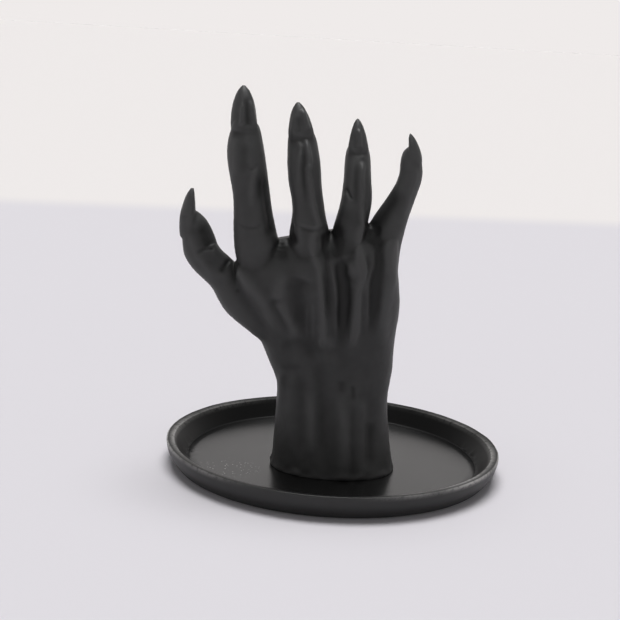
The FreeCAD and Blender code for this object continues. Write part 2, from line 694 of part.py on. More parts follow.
def threaded_insert():
    """Brass sleeve pressed into the hand, with a waist between its two grip bands."""
    bore_radius = INSERT_BORE / 2
    radius = INSERT_DIAMETER / 2
    waist_radius = radius - INSERT_GROOVE_DEPTH
    waist_bottom_z = (SOCKET_TOP_Z + INSERT_TOP_Z - INSERT_GROOVE_WIDTH) / 2
    waist_top_z = waist_bottom_z + INSERT_GROOVE_WIDTH
    points = (
        (bore_radius, SOCKET_TOP_Z),
        (radius - INSERT_CHAMFER, SOCKET_TOP_Z),
        (radius, SOCKET_TOP_Z + INSERT_CHAMFER),
        (radius, waist_bottom_z),
        (waist_radius, waist_bottom_z),
        (waist_radius, waist_top_z),
        (radius, waist_top_z),
        (radius, INSERT_TOP_Z - INSERT_CHAMFER),
        (radius - INSERT_CHAMFER, INSERT_TOP_Z),
        (bore_radius, INSERT_TOP_Z),
    )
    return turned(half_outline(points), HAND_AXIS)


def main():
    """Makes every piece and writes one file for each."""
    pieces = {
        "hand": hand(),
        "tray": tray(),
        "base_screw": base_screw(),
        "washer": washer(),
        "threaded_insert": threaded_insert(),
    }
    for side, place in zip(("left", "right"), pin_places()):
        pieces["locating_pin_" + side] = pin(place)
    for name, place in pad_places().items():
        pieces["foot_pad_" + name] = pad(place)
    os.makedirs("parts", exist_ok=True)
    for name, shape in pieces.items():
        print(name, "valid" if shape.isValid() else "NOT VALID", len(shape.Solids), round(shape.Volume, 1))
        shape.exportStep("parts/" + name + ".step")


main()
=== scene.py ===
import math

import bmesh
import bpy
import numpy as np
import openvdb
from bpy.props import FloatProperty, FloatVectorProperty, IntProperty, PointerProperty
from mathutils import Matrix, Vector, noise


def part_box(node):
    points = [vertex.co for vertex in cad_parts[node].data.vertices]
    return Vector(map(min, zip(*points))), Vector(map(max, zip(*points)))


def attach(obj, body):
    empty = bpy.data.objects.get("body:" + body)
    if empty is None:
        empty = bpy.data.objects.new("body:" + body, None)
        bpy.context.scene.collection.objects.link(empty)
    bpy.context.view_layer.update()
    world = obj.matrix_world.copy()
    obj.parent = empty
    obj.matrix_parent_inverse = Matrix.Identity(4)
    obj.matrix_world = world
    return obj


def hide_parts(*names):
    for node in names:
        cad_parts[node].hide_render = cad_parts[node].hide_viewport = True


# A black hand ring holder: a clawed hand cast in resin, standing on a round resin tray.
# Lengths are millimetres, directions are degrees and +Z is up. MM turns millimetres into metres.
bl_info = {
    "name": "Hand ring holder",
    "version": (1, 0, 0),
    "blender": (4, 5, 0),
    "location": "View3D > Sidebar > Ring holder",
    "description": "Dresses the frame of a hand ring holder with its cast shapes and finishes",
    "category": "Object",
}

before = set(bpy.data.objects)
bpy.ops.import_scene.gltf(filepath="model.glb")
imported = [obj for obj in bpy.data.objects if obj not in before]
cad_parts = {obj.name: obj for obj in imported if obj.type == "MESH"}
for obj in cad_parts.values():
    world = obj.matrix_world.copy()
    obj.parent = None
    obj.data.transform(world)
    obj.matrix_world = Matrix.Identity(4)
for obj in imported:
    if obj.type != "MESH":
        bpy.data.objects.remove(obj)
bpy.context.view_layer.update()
MM = 0.001


def box_middle(node):
    """Middle of a node across the tray, and its half width, in millimetres."""
    low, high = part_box(node)
    return (low.x + high.x) / 2 / MM, (low.y + high.y) / 2 / MM, (high.x - low.x) / 2 / MM


# Places that the frame gives: the hand stands over its screw, and its foot on the tray's floor
HAND_AXIS_X, HAND_AXIS_Y = box_middle("base_screw")[:2]
FLOOR_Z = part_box("hand")[0].z / MM
TRAY_LOW, TRAY_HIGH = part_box("tray")
TRAY_RADIUS = TRAY_HIGH.x / MM
TRAY_TOP_Z = TRAY_HIGH.z / MM
TRAY_UNDER_Z = TRAY_LOW.z / MM

# Relief on the back of the hand. Each line has its rise, its half width, its two fades and its places,
# which are (x, z) from the hand's axis and the tray's floor. It stands out by its rise, or sinks where
# that is negative, falls off to both sides over its half width, and fades at its start and its end
# over those shares of its length.
BACK_RELIEF = {
    # Tendons over the back of the hand, and the valleys and webs between them
    "middle_tendon": (0.95, 1.15, (0.1, 0.12), (
        (-9.4, 90.0), (-11.4, 85.0), (-10.8, 79.6), (-8.8, 75.1), (-8.1, 71.0), (-7.2, 65.2),
        (-6.5, 60.0), (-5.9, 54.7), (-5.9, 50.0), (-6.4, 45.5))),
    "inner_tendon": (0.55, 1.0, (0.25, 0.2), (
        (-4.4, 77.5), (-4.0, 73.8), (-2.9, 69.8), (-2.2, 65.3), (-1.8, 60.1), (-1.5, 54.8),
        (-1.0, 48.5))),
    "ring_tendon": (1.05, 1.45, (0.08, 0.15), (
        (5.0, 91.5), (4.3, 86.0), (4.5, 82.3), (5.4, 78.8), (6.9, 75.4), (6.7, 71.9), (5.6, 67.3),
        (5.3, 62.1), (5.2, 56.7), (4.7, 51.2), (4.2, 46.5))),
    "ring_knuckle": (0.75, 3.0, (0.45, 0.45), ((2.2, 79.0), (2.7, 75.5), (3.1, 71.5))),
    "outer_tendon": (0.5, 0.95, (0.2, 0.25), (
        (9.3, 83.4), (9.7, 78.2), (8.8, 73.7), (8.3, 69.9), (8.6, 63.3), (8.9, 56.6), (8.9, 50.5))),
    "little_tendon": (0.7, 1.9, (0.12, 0.2), (
        (17.9, 89.4), (15.9, 84.9), (14.9, 81.0), (15.6, 76.9), (16.6, 72.9), (15.8, 68.5), (15.3, 63.2),
        (14.8, 57.8), (14.7, 52.2), (14.1, 47.5))),
    "thumb_web": (1.1, 2.3, (0.12, 0.3), (
        (-37.0, 71.6), (-35.0, 70.8), (-32.2, 67.7), (-28.3, 63.8), (-25.2, 59.1), (-22.4, 53.9),
        (-20.4, 49.5))),
    "index_fork_upper": (0.6, 2.0, (0.4, 0.25), (
        (-20.3, 74.0), (-21.0, 70.0), (-21.9, 66.0), (-22.6, 62.8))),
    "index_fork_lower": (0.65, 1.9, (0.15, 0.3), (
        (-22.6, 62.8), (-19.6, 58.4), (-16.8, 53.8), (-13.8, 48.5))),
    "middle_inner_valley": (-0.6, 1.2, (0.1, 0.3), (
        (-7.4, 87.5), (-7.0, 82.6), (-6.1, 78.0), (-5.3, 73.0), (-4.6, 66.6), (-4.1, 60.1),
        (-3.9, 53.8))),
    "middle_ring_web": (-1.2, 3.4, (0.35, 0.45), (
        (-5.0, 90.5), (-3.4, 87.0), (-2.0, 83.0), (-0.8, 79.0))),
    "inner_ring_valley": (-0.9, 2.1, (0.12, 0.3), (
        (-1.6, 79.5), (-0.8, 73.2), (0.3, 68.7), (0.9, 64.2), (0.7, 59.2), (0.9, 53.6), (1.0, 47.2))),
    "ring_outer_valley": (-0.35, 0.85, (0.2, 0.3), (
        (7.2, 84.0), (7.9, 77.6), (7.9, 73.8), (6.9, 70.0), (6.8, 64.7), (7.0, 56.5))),
    "outer_little_valley": (-0.55, 1.8, (0.12, 0.3), (
        (10.9, 86.0), (11.6, 81.9), (12.1, 78.2), (12.2, 73.7), (11.9, 68.5), (11.7, 63.2), (11.7, 57.9),
        (12.4, 52.5))),
    "ring_little_web": (-1.0, 2.5, (0.35, 0.45), ((8.0, 89.0), (9.6, 86.0), (11.4, 82.0))),
    "little_flank": (-1.0, 2.7, (0.15, 0.3), (
        (8.5, 87.5), (10.4, 91.5), (12.8, 95.5), (15.2, 99.8), (17.2, 103.6))),
    "index_flank": (-1.1, 1.9, (0.3, 0.15), (
        (-30.2, 108.0), (-29.0, 103.0), (-27.9, 98.0), (-26.8, 93.0), (-25.9, 88.4), (-25.0, 84.4))),
    "middle_flank": (-0.9, 1.6, (0.3, 0.3), ((-19.8, 90.0), (-18.8, 86.0), (-17.2, 81.5))),
    "index_middle_web": (-0.5, 2.8, (0.3, 0.3), ((-24.4, 82.0), (-21.9, 77.8), (-19.2, 80.5))),
    "index_middle_hollow": (-0.75, 3.3, (0.16, 0.3), (
        (-13.6, 71.5), (-14.6, 66.0), (-14.4, 60.0), (-12.9, 48.5))),
    "fine_ridge_left": (0.22, 0.6, (0.25, 0.3), ((-12.3, 63.5), (-12.0, 56.0), (-11.5, 49.0))),
    "fine_ridge_right": (0.24, 0.6, (0.25, 0.3), ((-10.1, 63.5), (-9.6, 56.0), (-9.2, 48.0))),
    "thumb_index_valley": (-0.7, 1.7, (0.25, 0.3), (
        (-24.6, 64.0), (-22.0, 58.9), (-19.6, 55.0), (-16.6, 49.5))),
    # Wrist and forearm
    "wrist_band": (-0.6, 3.4, (0.2, 0.35), ((-20.5, 46.9), (-15.2, 46.7), (-10.6, 46.0), (-4.6, 45.2))),
    "wrist_band_low": (-0.3, 1.6, (0.3, 0.4), ((-20.0, 37.0), (-16.5, 38.0), (-12.5, 38.5))),
    "wrist_mound": (0.35, 2.2, (0.4, 0.4), ((-4.8, 52.0), (-3.6, 49.0), (-2.6, 45.5))),
    "thumb_dimple": (-0.35, 0.8, (0.4, 0.4), ((-37.0, 65.2), (-36.4, 64.4), (-35.8, 63.6))),
    "forearm_ridge_left": (0.35, 1.9, (0.25, 0.3), ((-16.0, 38.0), (-15.8, 24.4), (-15.0, 6.0))),
    "forearm_ridge_middle": (0.55, 1.5, (0.35, 0.35), ((-8.8, 32.0), (-8.2, 20.0), (-7.6, 7.0))),
    "forearm_ridge_broad": (1.0, 2.6, (0.3, 0.05), ((1.2, 33.0), (2.6, 22.0), (3.8, 11.0), (3.9, 0.0))),
    "forearm_ridge_right": (0.7, 2.1, (0.3, 0.05), ((8.4, 31.0), (9.4, 18.0), (10.4, 0.0))),
    "forearm_hollow_left": (-0.4, 1.9, (0.25, 0.3), ((-12.6, 37.0), (-12.0, 22.0), (-11.4, 6.0))),
    "forearm_hollow_middle": (-0.6, 2.4, (0.2, 0.4), (
        (-7.4, 43.5), (-5.2, 26.2), (-3.6, 13.1), (-1.6, 1.5))),
    "forearm_hollow_narrow": (-0.35, 1.2, (0.3, 0.4), ((5.4, 28.0), (6.4, 14.0), (7.2, 0.5))),
    "forearm_hollow_right": (-0.7, 2.1, (0.35, 0.35), ((12.2, 21.0), (13.2, 11.0), (14.4, 2.5))),
    "forearm_dimple": (-0.45, 0.9, (0.35, 0.35), ((5.4, 34.2), (5.7, 31.5), (6.2, 28.2))),
    "forearm_dimple_faint": (-0.3, 1.2, (0.4, 0.4), ((1.4, 35.5), (1.6, 33.5), (1.8, 31.0))),
    "forearm_edge": (0.35, 1.3, (0.3, 0.3), ((-19.4, 38.0), (-19.8, 30.0), (-20.3, 22.0))),
    # Printed layers that show in the web
    "web_layer_low": (0.08, 0.3, (0.2, 0.2), ((-24.3, 80.4), (-21.9, 79.8), (-19.9, 80.3))),
    "web_layer_middle": (0.08, 0.3, (0.2, 0.2), ((-24.2, 81.4), (-21.9, 80.9), (-20.0, 81.3))),
    "web_layer_high": (0.08, 0.3, (0.2, 0.2), ((-24.0, 82.4), (-21.9, 82.0), (-20.2, 82.3))),
    # Index finger
    "index_nail_ridge_left": (0.8, 0.75, (0.5, 0.1), ((-38.3, 129.8), (-38.1, 125.5), (-37.9, 120.6))),
    "index_nail_ridge_right": (0.8, 0.75, (0.55, 0.1), ((-36.0, 129.4), (-35.0, 126.0), (-33.9, 121.0))),
    "index_nail_flute": (-0.5, 0.9, (0.3, 0.1), ((-37.4, 129.6), (-36.6, 126.0), (-36.0, 120.4))),
    "index_cuticle": (0.35, 0.8, (0.1, 0.1), (
        (-41.4, 120.4), (-38.9, 118.9), (-36.1, 118.6), (-33.7, 119.0), (-32.7, 120.2))),
    "index_nail_root": (0.45, 1.5, (0.1, 0.1), (
        (-41.0, 121.8), (-38.8, 120.5), (-36.1, 120.2), (-33.7, 120.6), (-32.7, 121.6))),
    "index_cuticle_lip": (0.1, 0.8, (0.15, 0.15), (
        (-41.2, 118.9), (-38.8, 117.4), (-36.1, 117.1), (-33.6, 117.5), (-32.5, 118.7))),
    "index_back_left": (0.4, 1.1, (0.3, 0.3), ((-39.8, 117.2), (-39.4, 110.2), (-38.9, 103.0))),
    "index_back_hollow": (-0.35, 1.2, (0.4, 0.3), ((-36.6, 115.5), (-36.4, 110.5), (-36.0, 104.0))),
    "index_joint_fold_left": (-0.2, 0.5, (0.35, 0.1), ((-35.6, 108.8), (-34.7, 107.2), (-33.6, 106.4))),
    "index_joint_fold_right": (-0.2, 0.5, (0.1, 0.35), ((-33.6, 106.4), (-32.6, 107.3), (-31.6, 109.0))),
    "index_back_ridge": (0.6, 0.95, (0.3, 0.35), (
        (-31.6, 108.0), (-32.8, 104.0), (-33.2, 99.0), (-32.6, 93.0))),
    "index_back_valley": (-0.35, 0.9, (0.35, 0.35), ((-30.6, 104.5), (-30.7, 100.5), (-30.5, 95.5))),
    "index_root_fold": (-0.32, 0.45, (0.35, 0.25), (
        (-38.2, 88.1), (-35.0, 87.2), (-31.5, 87.3), (-28.6, 88.6))),
    # Middle finger
    "middle_nail_ridge": (0.8, 0.7, (0.3, 0.1), ((-17.8, 127.4), (-16.6, 124.0), (-15.3, 120.4))),
    "middle_nail_edge": (0.25, 0.6, (0.3, 0.15), ((-19.9, 126.0), (-20.5, 122.8), (-20.7, 119.8))),
    "middle_nail_flute": (-0.3, 0.8, (0.3, 0.15), ((-19.0, 125.0), (-18.6, 122.0), (-18.2, 119.3))),
    "middle_cuticle": (0.25, 0.7, (0.1, 0.1), (
        (-21.4, 119.6), (-18.4, 118.5), (-15.2, 118.3), (-12.8, 119.8))),
    "middle_nail_root": (0.2, 1.4, (0.1, 0.1), (
        (-21.2, 121.2), (-18.4, 120.2), (-15.3, 119.9), (-13.0, 121.2))),
    "middle_cuticle_lip": (0.12, 0.75, (0.15, 0.15), (
        (-21.2, 118.1), (-18.3, 117.1), (-15.1, 116.9), (-12.7, 118.4))),
    "middle_back_ridge": (1.0, 0.95, (0.12, 0.12), (
        (-15.9, 118.0), (-15.2, 114.7), (-14.0, 110.6), (-14.1, 107.0), (-13.0, 102.1), (-12.4, 98.4),
        (-11.6, 95.3), (-10.3, 91.0), (-8.8, 87.6))),
    "middle_back_left": (0.45, 0.75, (0.25, 0.35), (
        (-19.3, 117.2), (-17.3, 114.3), (-17.6, 109.2), (-17.3, 101.8))),
    "middle_back_valley": (-0.55, 0.75, (0.25, 0.35), (
        (-17.2, 117.0), (-15.9, 111.6), (-15.8, 107.0), (-15.0, 101.0), (-14.0, 96.0))),
    "middle_joint_bump": (0.4, 1.1, (0.45, 0.45), ((-14.6, 109.4), (-14.2, 108.2), (-13.9, 107.0))),
    "middle_root_fold": (-0.35, 0.45, (0.3, 0.2), (
        (-17.6, 89.2), (-14.6, 88.1), (-11.4, 87.7), (-8.0, 88.4))),
    "middle_root_lip": (0.3, 0.6, (0.3, 0.2), (
        (-17.0, 90.2), (-14.2, 89.1), (-11.2, 88.8), (-8.2, 89.4))),
    # Ring finger
    "ring_nail_ridge": (0.7, 0.6, (0.35, 0.1), ((2.0, 121.6), (2.4, 119.0), (2.9, 115.1))),
    "ring_nail_flute": (-0.25, 0.7, (0.3, 0.15), ((0.9, 120.6), (0.9, 117.6), (1.2, 114.8))),
    "ring_cuticle": (0.25, 0.7, (0.1, 0.1), ((-0.9, 115.6), (1.2, 113.9), (4.0, 113.7), (5.9, 115.4))),
    "ring_nail_root": (0.2, 1.2, (0.1, 0.1), ((-0.8, 117.0), (1.2, 115.4), (3.9, 115.2), (5.7, 116.6))),
    "ring_cuticle_lip": (0.08, 0.7, (0.15, 0.15), (
        (-1.0, 114.2), (1.2, 112.5), (4.1, 112.3), (6.1, 114.0))),
    "ring_joint_bump": (0.25, 0.8, (0.45, 0.45), ((3.9, 113.4), (4.1, 112.4), (4.2, 111.4))),
    "ring_back_ridge": (0.95, 0.85, (0.15, 0.12), (
        (4.2, 111.2), (4.0, 106.4), (4.4, 101.6), (4.5, 96.7), (4.9, 92.3), (4.8, 88.0))),
    "ring_back_valley": (-0.5, 0.8, (0.3, 0.35), ((2.2, 111.0), (2.1, 106.0), (2.4, 100.5), (2.7, 96.5))),
    "ring_fold": (-0.6, 0.5, (0.25, 0.35), ((-1.2, 102.2), (0.1, 100.2), (1.5, 98.2))),
    "ring_fold_lip": (0.3, 0.7, (0.3, 0.35), ((-1.2, 100.6), (-0.4, 99.2), (0.8, 97.2))),
    # Little finger and thumb
    "little_back_ridge": (0.4, 1.0, (0.2, 0.25), (
        (22.4, 110.6), (22.1, 106.6), (21.1, 102.4), (19.8, 97.0), (18.6, 91.5))),
    "little_cuticle": (-0.15, 0.4, (0.15, 0.15), ((19.7, 117.2), (21.2, 115.6), (23.6, 115.4))),
    "thumb_cuticle": (-0.15, 0.45, (0.15, 0.15), ((-57.2, 88.2), (-54.6, 88.8), (-52.4, 90.0))),
    "thumb_joint_fold": (-0.6, 0.65, (0.3, 0.15), ((-51.6, 75.9), (-48.4, 77.9), (-45.2, 78.2))),
    "thumb_root_fold": (-0.5, 0.8, (0.3, 0.15), ((-43.2, 70.2), (-41.4, 72.4), (-39.0, 75.4))),
    "thumb_back_ridge": (0.45, 1.4, (0.3, 0.3), (
        (-54.4, 86.0), (-52.9, 80.0), (-49.0, 73.5), (-43.0, 66.5))),
    "thumb_side_hollow": (-0.8, 2.2, (0.3, 0.15), (
        (-51.0, 87.5), (-48.6, 84.0), (-47.0, 80.8), (-46.2, 78.9))),
}

# Relief on the palm side, in the same terms
PALM_RELIEF = {
    # Lines and pads of the palm
    "thumb_line": (-0.7, 0.55, (0.15, 0.25), (
        (-33.5, 73.5), (-24.0, 71.0), (-15.5, 63.5), (-10.5, 53.0), (-8.5, 46.0))),
    "middle_line": (-0.6, 0.5, (0.15, 0.25), (
        (-32.0, 74.5), (-20.0, 73.0), (-6.0, 68.0), (6.0, 61.0), (13.0, 55.0))),
    "upper_line": (-0.6, 0.5, (0.2, 0.2), (
        (-19.5, 81.5), (-14.0, 77.5), (-3.0, 75.5), (8.0, 75.5), (17.0, 77.0))),
    "index_pad": (0.9, 3.6, (0.45, 0.45), ((-31.0, 82.0), (-30.5, 79.0), (-29.5, 76.0))),
    "middle_pad": (0.9, 3.4, (0.45, 0.45), ((-12.5, 84.0), (-12.0, 81.5), (-11.5, 79.0))),
    "ring_pad": (0.9, 3.2, (0.45, 0.45), ((3.5, 86.0), (3.5, 83.5), (3.5, 81.0))),
    # Wrist and forearm
    "wrist_line_high": (-0.5, 0.5, (0.15, 0.15), (
        (-20.5, 41.5), (-10.0, 43.5), (4.0, 43.5), (17.5, 42.0))),
    "wrist_line_low": (-0.38, 0.45, (0.2, 0.2), ((-19.5, 37.5), (-9.0, 39.2), (5.0, 39.2), (16.5, 37.8))),
    "wrist_cord_left": (0.75, 1.3, (0.3, 0.45), ((-3.8, 41.5), (-3.6, 28.0), (-3.4, 8.0))),
    "wrist_cord_right": (0.65, 1.2, (0.3, 0.45), ((1.6, 41.5), (1.8, 28.0), (2.2, 8.0))),
    "wrist_hollow": (-0.6, 1.5, (0.3, 0.45), ((-9.0, 38.0), (-8.8, 26.0), (-8.4, 8.0))),
    # Creases of the fingers
    "index_crease_low": (-0.5, 0.5, (0.1, 0.1), ((-40.0, 92.0), (-34.0, 90.8), (-27.5, 91.6))),
    "index_crease_high": (-0.45, 0.45, (0.1, 0.1), ((-41.6, 105.6), (-35.5, 104.6), (-29.5, 105.4))),
    "middle_crease_low": (-0.5, 0.5, (0.1, 0.1), ((-20.0, 93.0), (-13.8, 92.0), (-7.6, 92.8))),
    "middle_crease_high": (-0.45, 0.45, (0.1, 0.1), ((-22.0, 106.6), (-16.0, 105.6), (-10.2, 106.4))),
    "ring_crease_low": (-0.5, 0.5, (0.1, 0.1), ((-3.8, 94.4), (2.4, 93.4), (8.4, 94.2))),
    "ring_crease_high": (-0.45, 0.45, (0.1, 0.1), ((-3.0, 105.4), (2.6, 104.4), (7.8, 105.2))),
    "little_crease_low": (-0.4, 0.45, (0.1, 0.1), ((9.6, 94.4), (15.4, 92.6), (21.8, 93.0))),
    "little_crease_high": (-0.4, 0.4, (0.1, 0.1), ((15.4, 104.4), (20.0, 102.4), (24.4, 102.6))),
}

# Middle lines of the nails from cuticle to tip, in the same terms: they cover the nails evenly
NO_FADE = (0.001, 0.001)
NAIL_COVER = {
    "index": (1.0, 4.6, NO_FADE, ((-36.8, 122.6), (-37.6, 128.0), (-38.2, 133.5))),
    "middle": (1.0, 4.6, NO_FADE, ((-17.4, 122.4), (-18.4, 125.6), (-19.2, 129.0))),
    "ring": (1.0, 3.9, NO_FADE, ((2.1, 117.4), (1.8, 120.6), (1.6, 125.0))),
    "little": (1.0, 2.6, NO_FADE, ((22.2, 116.4), (21.6, 118.0), (20.6, 120.4))),
    "thumb": (1.0, 2.9, NO_FADE, ((-54.6, 91.4), (-54.9, 93.8), (-54.8, 97.5))),
}

# Painted shade on the flanks, webs, ledges and folds between the digits, where shade falls, in the same
# terms: the rise is the share of the crests' paleness taken off
PAINTED_SHADE_PLACES = {
    "thumb_middle": (0.2, 2.6, (0.2, 0.2), ((-49.9, 76.5), (-45.9, 73.4), (-41.9, 70.6))),
    "index_middle_web": (0.4, 2.2, (0.25, 0.25), ((-24.6, 81.0), (-22.2, 78.6), (-19.4, 79.6))),
    "ring_cuticle_ledge": (0.06, 1.0, (0.1, 0.1), (
        (-0.9, 114.4), (1.2, 112.9), (4.0, 112.7), (6.0, 114.2))),
    "middle_cuticle_ledge": (0.12, 1.1, (0.1, 0.1), (
        (-21.2, 118.4), (-18.4, 117.4), (-15.2, 117.2), (-12.7, 118.6))),
    "index_cuticle_ledge": (0.03, 1.1, (0.1, 0.1), (
        (-41.0, 119.0), (-38.6, 117.9), (-36.0, 117.6), (-33.4, 118.0), (-32.5, 119.0))),
    "middle_ring": (0.6, 4.0, (0.2, 0.15), (
        (-0.6, 97.0), (-2.2, 91.3), (-3.2, 86.2), (-3.0, 81.7), (-1.8, 78.0))),
    "ring_valley": (0.55, 2.0, (0.1, 0.25), (
        (-0.8, 77.0), (-0.3, 72.5), (0.2, 67.5), (0.1, 61.4), (0.3, 54.0))),
    "ring_little": (0.55, 3.3, (0.3, 0.15), (
        (18.7, 103.0), (15.4, 97.7), (12.2, 92.5), (10.0, 87.5), (9.6, 83.5))),
    "index_side": (0.45, 2.3, (0.25, 0.15), (
        (-30.7, 106.7), (-30.1, 101.8), (-29.0, 96.0), (-27.6, 90.1), (-26.0, 85.3), (-23.4, 80.4))),
    "middle_side": (0.45, 1.8, (0.2, 0.3), ((-22.4, 79.0), (-19.6, 83.0), (-18.0, 86.5))),
    "thumb_side": (0.42, 3.0, (0.3, 0.15), ((-51.8, 86.0), (-49.7, 81.5), (-47.4, 78.6))),
    "thumb_root": (0.45, 1.4, (0.2, 0.2), ((-38.5, 75.5), (-40.6, 73.0), (-42.6, 70.0))),
}

# How far a surface has to turn to a side to take that side's relief, its painted shade and its nails
FACING_FULL = 0.5
PAINTED_SHADE_FACING = (0.35, -0.2)
NAIL_EDGE = (0.2, 0.5)

# The paleness of the crests, partly rubbing and partly painted highlight, with painted shade in the
# hollows: how wide the skin around a point is taken, how pale a flat place is, and by how much a fully
# pale crest stands out further than that
SOFTENING_PASSES = 40
CREST_SHARE = 0.46
CREST_RISE = 1.1

# Level, at each place across the hand, above which the roots of the digits keep their clefts, the
# height below it over which the blend sets in, and the heights between which the arm starts to blend
CLEFT_LINE = (
    (-60.0, 74.0), (-46.0, 73.0), (-38.5, 69.0), (-34.0, 79.0), (-22.0, 75.5), (-13.0, 82.5),
    (-5.3, 79.0), (1.0, 81.0), (7.2, 82.0), (12.0, 83.0), (25.0, 90.0),
)
CLEFT_FADE = 8.0
BLEND_START = (30.0, 45.0)

# Everything nearer to the hand's axis than this is the socket in its foot, which stays as it is
SOCKET_REACH = 14.5

# Slow ripple of the cast skin: how long and high its waves are, the roughness, step and number of the
# finer waves in them, and the height where they are full
RIPPLE_LENGTH = 5.0
RIPPLE_RISE = 0.10
RIPPLE_FRACTAL = (1.0, 2.0, 3)
RIPPLE_FULL_Z = 3.0

# Lip of flash round the foot: the heights where it starts, is full, thins and ends, its mean rise,
# how far it strays from that, how often round the foot, and the layer of the noise that it is cut from
LIP_HEIGHTS = (0.1, 0.6, 1.2, 3.2)
LIP_RISE = 0.05
LIP_STRAY = 0.5
LIP_WAVES = 4.0
LIP_LAYER = 7.0

# Lumps of flash left by the mould on the two ends of the foot: direction in degrees round the hand's
# axis, height over the tray's floor, rise and half width
FOOT_FLASH = ((184.0, 1.7, 0.55, 0.9), (356.0, 1.3, 0.5, 0.8), (193.0, 1.1, 0.3, 0.9))

# Cast resin of the hand. Its grain is too fine to show in the render, so it is drawn about one pixel
# wide. The mottle is the slow change of tone that a cast skin has.
RESIN_MOTTLE = 3.0
RESIN_GRAIN = 0.35
RESIN_DEPTH = 0.05
MOTTLE_SHARE = 0.15
HAND_ROUGHNESS = 0.46
NAIL_ROUGHNESS = 0.38
MOTTLE_ROUGHNESS = 0.08
LAYER_SHARE = 0.12

# Resin of the tray: its slow mottle, the flecks that break up the pale rim lines, and the specks of dust,
# which are drawn coarser than real dust so that they show
TRAY_MOTTLE = 9.0
TRAY_ROUGHNESS_RANGE = 0.03
TRAY_FLECK = 1.4
FLECK_EDGE = (0.32, 0.50)
FLECK_LEFT = 0.25
TRAY_DEPTH = 0.05
DUST_PITCH = 1.2
SPECK_EDGE = (0.20, 0.13)

# Grain of the fixings and pebbles of the pads, both drawn coarser than they are so that they show
METAL_DEPTH = 0.02
METAL_SHADES = (0.85, 1.1)
METAL_ROUGHNESS_RANGE = 0.15
PAD_PEBBLE = 0.5
PAD_DEPTH = 0.05

# Tray: the insets are measured inwards from the outside of its rim
TRAY_FOOT_INSET = 3.5
TRAY_FOOT_CHAMFER = 0.6
TRAY_WALL_BULGE = 0.9
TRAY_RIM_LAND = 2.8
TRAY_RIM_FALL = 0.5
TRAY_RIM_ROUND = 0.6
TRAY_WELL_INSET = 7.4
TRAY_WELL_ROUND = 0.7
TRAY_SEAM_DEPTH = 0.14
TRAY_SEAM_WIDTH = 0.45
WELL_RADIUS = TRAY_RADIUS - TRAY_WELL_INSET
RIM_INNER_RADIUS = TRAY_RADIUS - TRAY_RIM_LAND

# Steps along the parts of the tray's outline and round its holes
UNDERSIDE_STEPS = 12
WALL_STEPS = 14
ROUND_STEPS = 6
FLOOR_STEPS = 20
HOLE_SEGMENTS = 64

# Hub that the hand sits over, and the room round what goes into the tray. A cut runs past the surface
# by its reach, and points closer than the merging reach become one.
HUB_DIAMETER = 26.0
HUB_OVER_WASHER = 2.3
HUB_IN_TRAY = 1.0
SCREW_HOLE_DIAMETER = 4.5
WASHER_CLEARANCE = 0.5
PIN_CLEARANCE = 0.03
PAD_CLEARANCE = 0.2
CUT_REACH = 5.0
MERGE_REACH = 0.01

# Wave of the rim: how often it goes round, the roughness, step and number of the finer waves in it, how
# fast it changes upwards for each millimetre, how far inside the well's edge and how high it starts,
# and how much of it goes upwards
RIM_WAVES = 6.0
RIM_FRACTAL = (1.0, 2.0, 4)
RIM_WAVE_RATE = 0.6
RIM_WAVE_INSET = 2.0
RIM_WAVE_LOW_Z = 3.0
RIM_WAVE_LIFT = 0.5

# Rough marks on the seam at the foot of the well's wall: direction and half width in degrees, share,
# and how high, wide and fine they are
SEAM_MARKS = ((181.0, 9.0, 1.0), (14.0, 15.0, 1.0))
SEAM_MARK_RISE = 0.8
SEAM_MARK_WIDTH = 0.8
SEAM_MARK_DEPTH = 1.0
SEAM_MARK_RATE = 0.9

# Where the rim carries pale lines: direction and half width in degrees round the tray, and share. The
# pale lines run along both edges of the rim, a little inside them, down to a depth under its top.
RIM_PALE_LINES = (
    (182.0, 28.0, 0.85), (140.0, 20.0, 0.4), (222.0, 14.0, 0.35), (300.0, 12.0, 0.35),
    (325.0, 16.0, 0.9), (356.0, 20.0, 0.75), (35.0, 18.0, 0.35), (70.0, 25.0, 0.1),
)
RIM_LINE_WIDTH = 0.3
RIM_LINE_INSET = 0.15
RIM_INNER_SHARE = 0.8
RIM_LINE_DEPTHS = (1.6, 0.9)

# Middle and reach of the dust that lies on the well's floor, and how close to the floor it lies
DUST_PLACE = (-36.0, -19.0)
DUST_REACH = 16.0
DUST_HEIGHT = 0.1

# How far a face of the tray looks up to be its floor, and outwards to be no longer its inner wall
FLOOR_UP = 0.9
WALL_OUTWARD = 0.3

# Camera: where it stands and where it looks, from the shape of the tray's rim in the picture
CAMERA_PLACE = (0.0, -550.0, 182.3)
CAMERA_YAW = -1.15
CAMERA_PITCH = 12.76
CAMERA_ROLL = 3.29
CAMERA_FILM_WIDTH = 36.0
CAMERA_REACH = 20000.0

# Stage: a pale cloth on a paler floor; its back edge is a line through two places. The weave is too
# fine to show in the render, so it is drawn about two pixels wide.
STAGE_SIZE = 6000.0
CLOTH_EDGE_LEFT = (-230.0, 545.0)
CLOTH_EDGE_RIGHT = (187.0, 602.0)
CLOTH_EDGE_SOFTNESS = 28.0
CLOTH_WEAVE = 0.8
CLOTH_DEPTH = 0.1

# The studio round the stage: how bright its pale walls are and how high they reach, how bright the
# dark ceiling above them is, and the soft lamp overhead, which leans back from the upright
WALL_LEVEL = 0.78
WALL_FULL = 12.0
WALL_TOP = 36.0
CEILING_LEVEL = 0.09
LAMP_LEVEL = 7.5
LAMP_LEAN = 12.0
LAMP_FULL = 12.0
LAMP_EDGE = 25.0


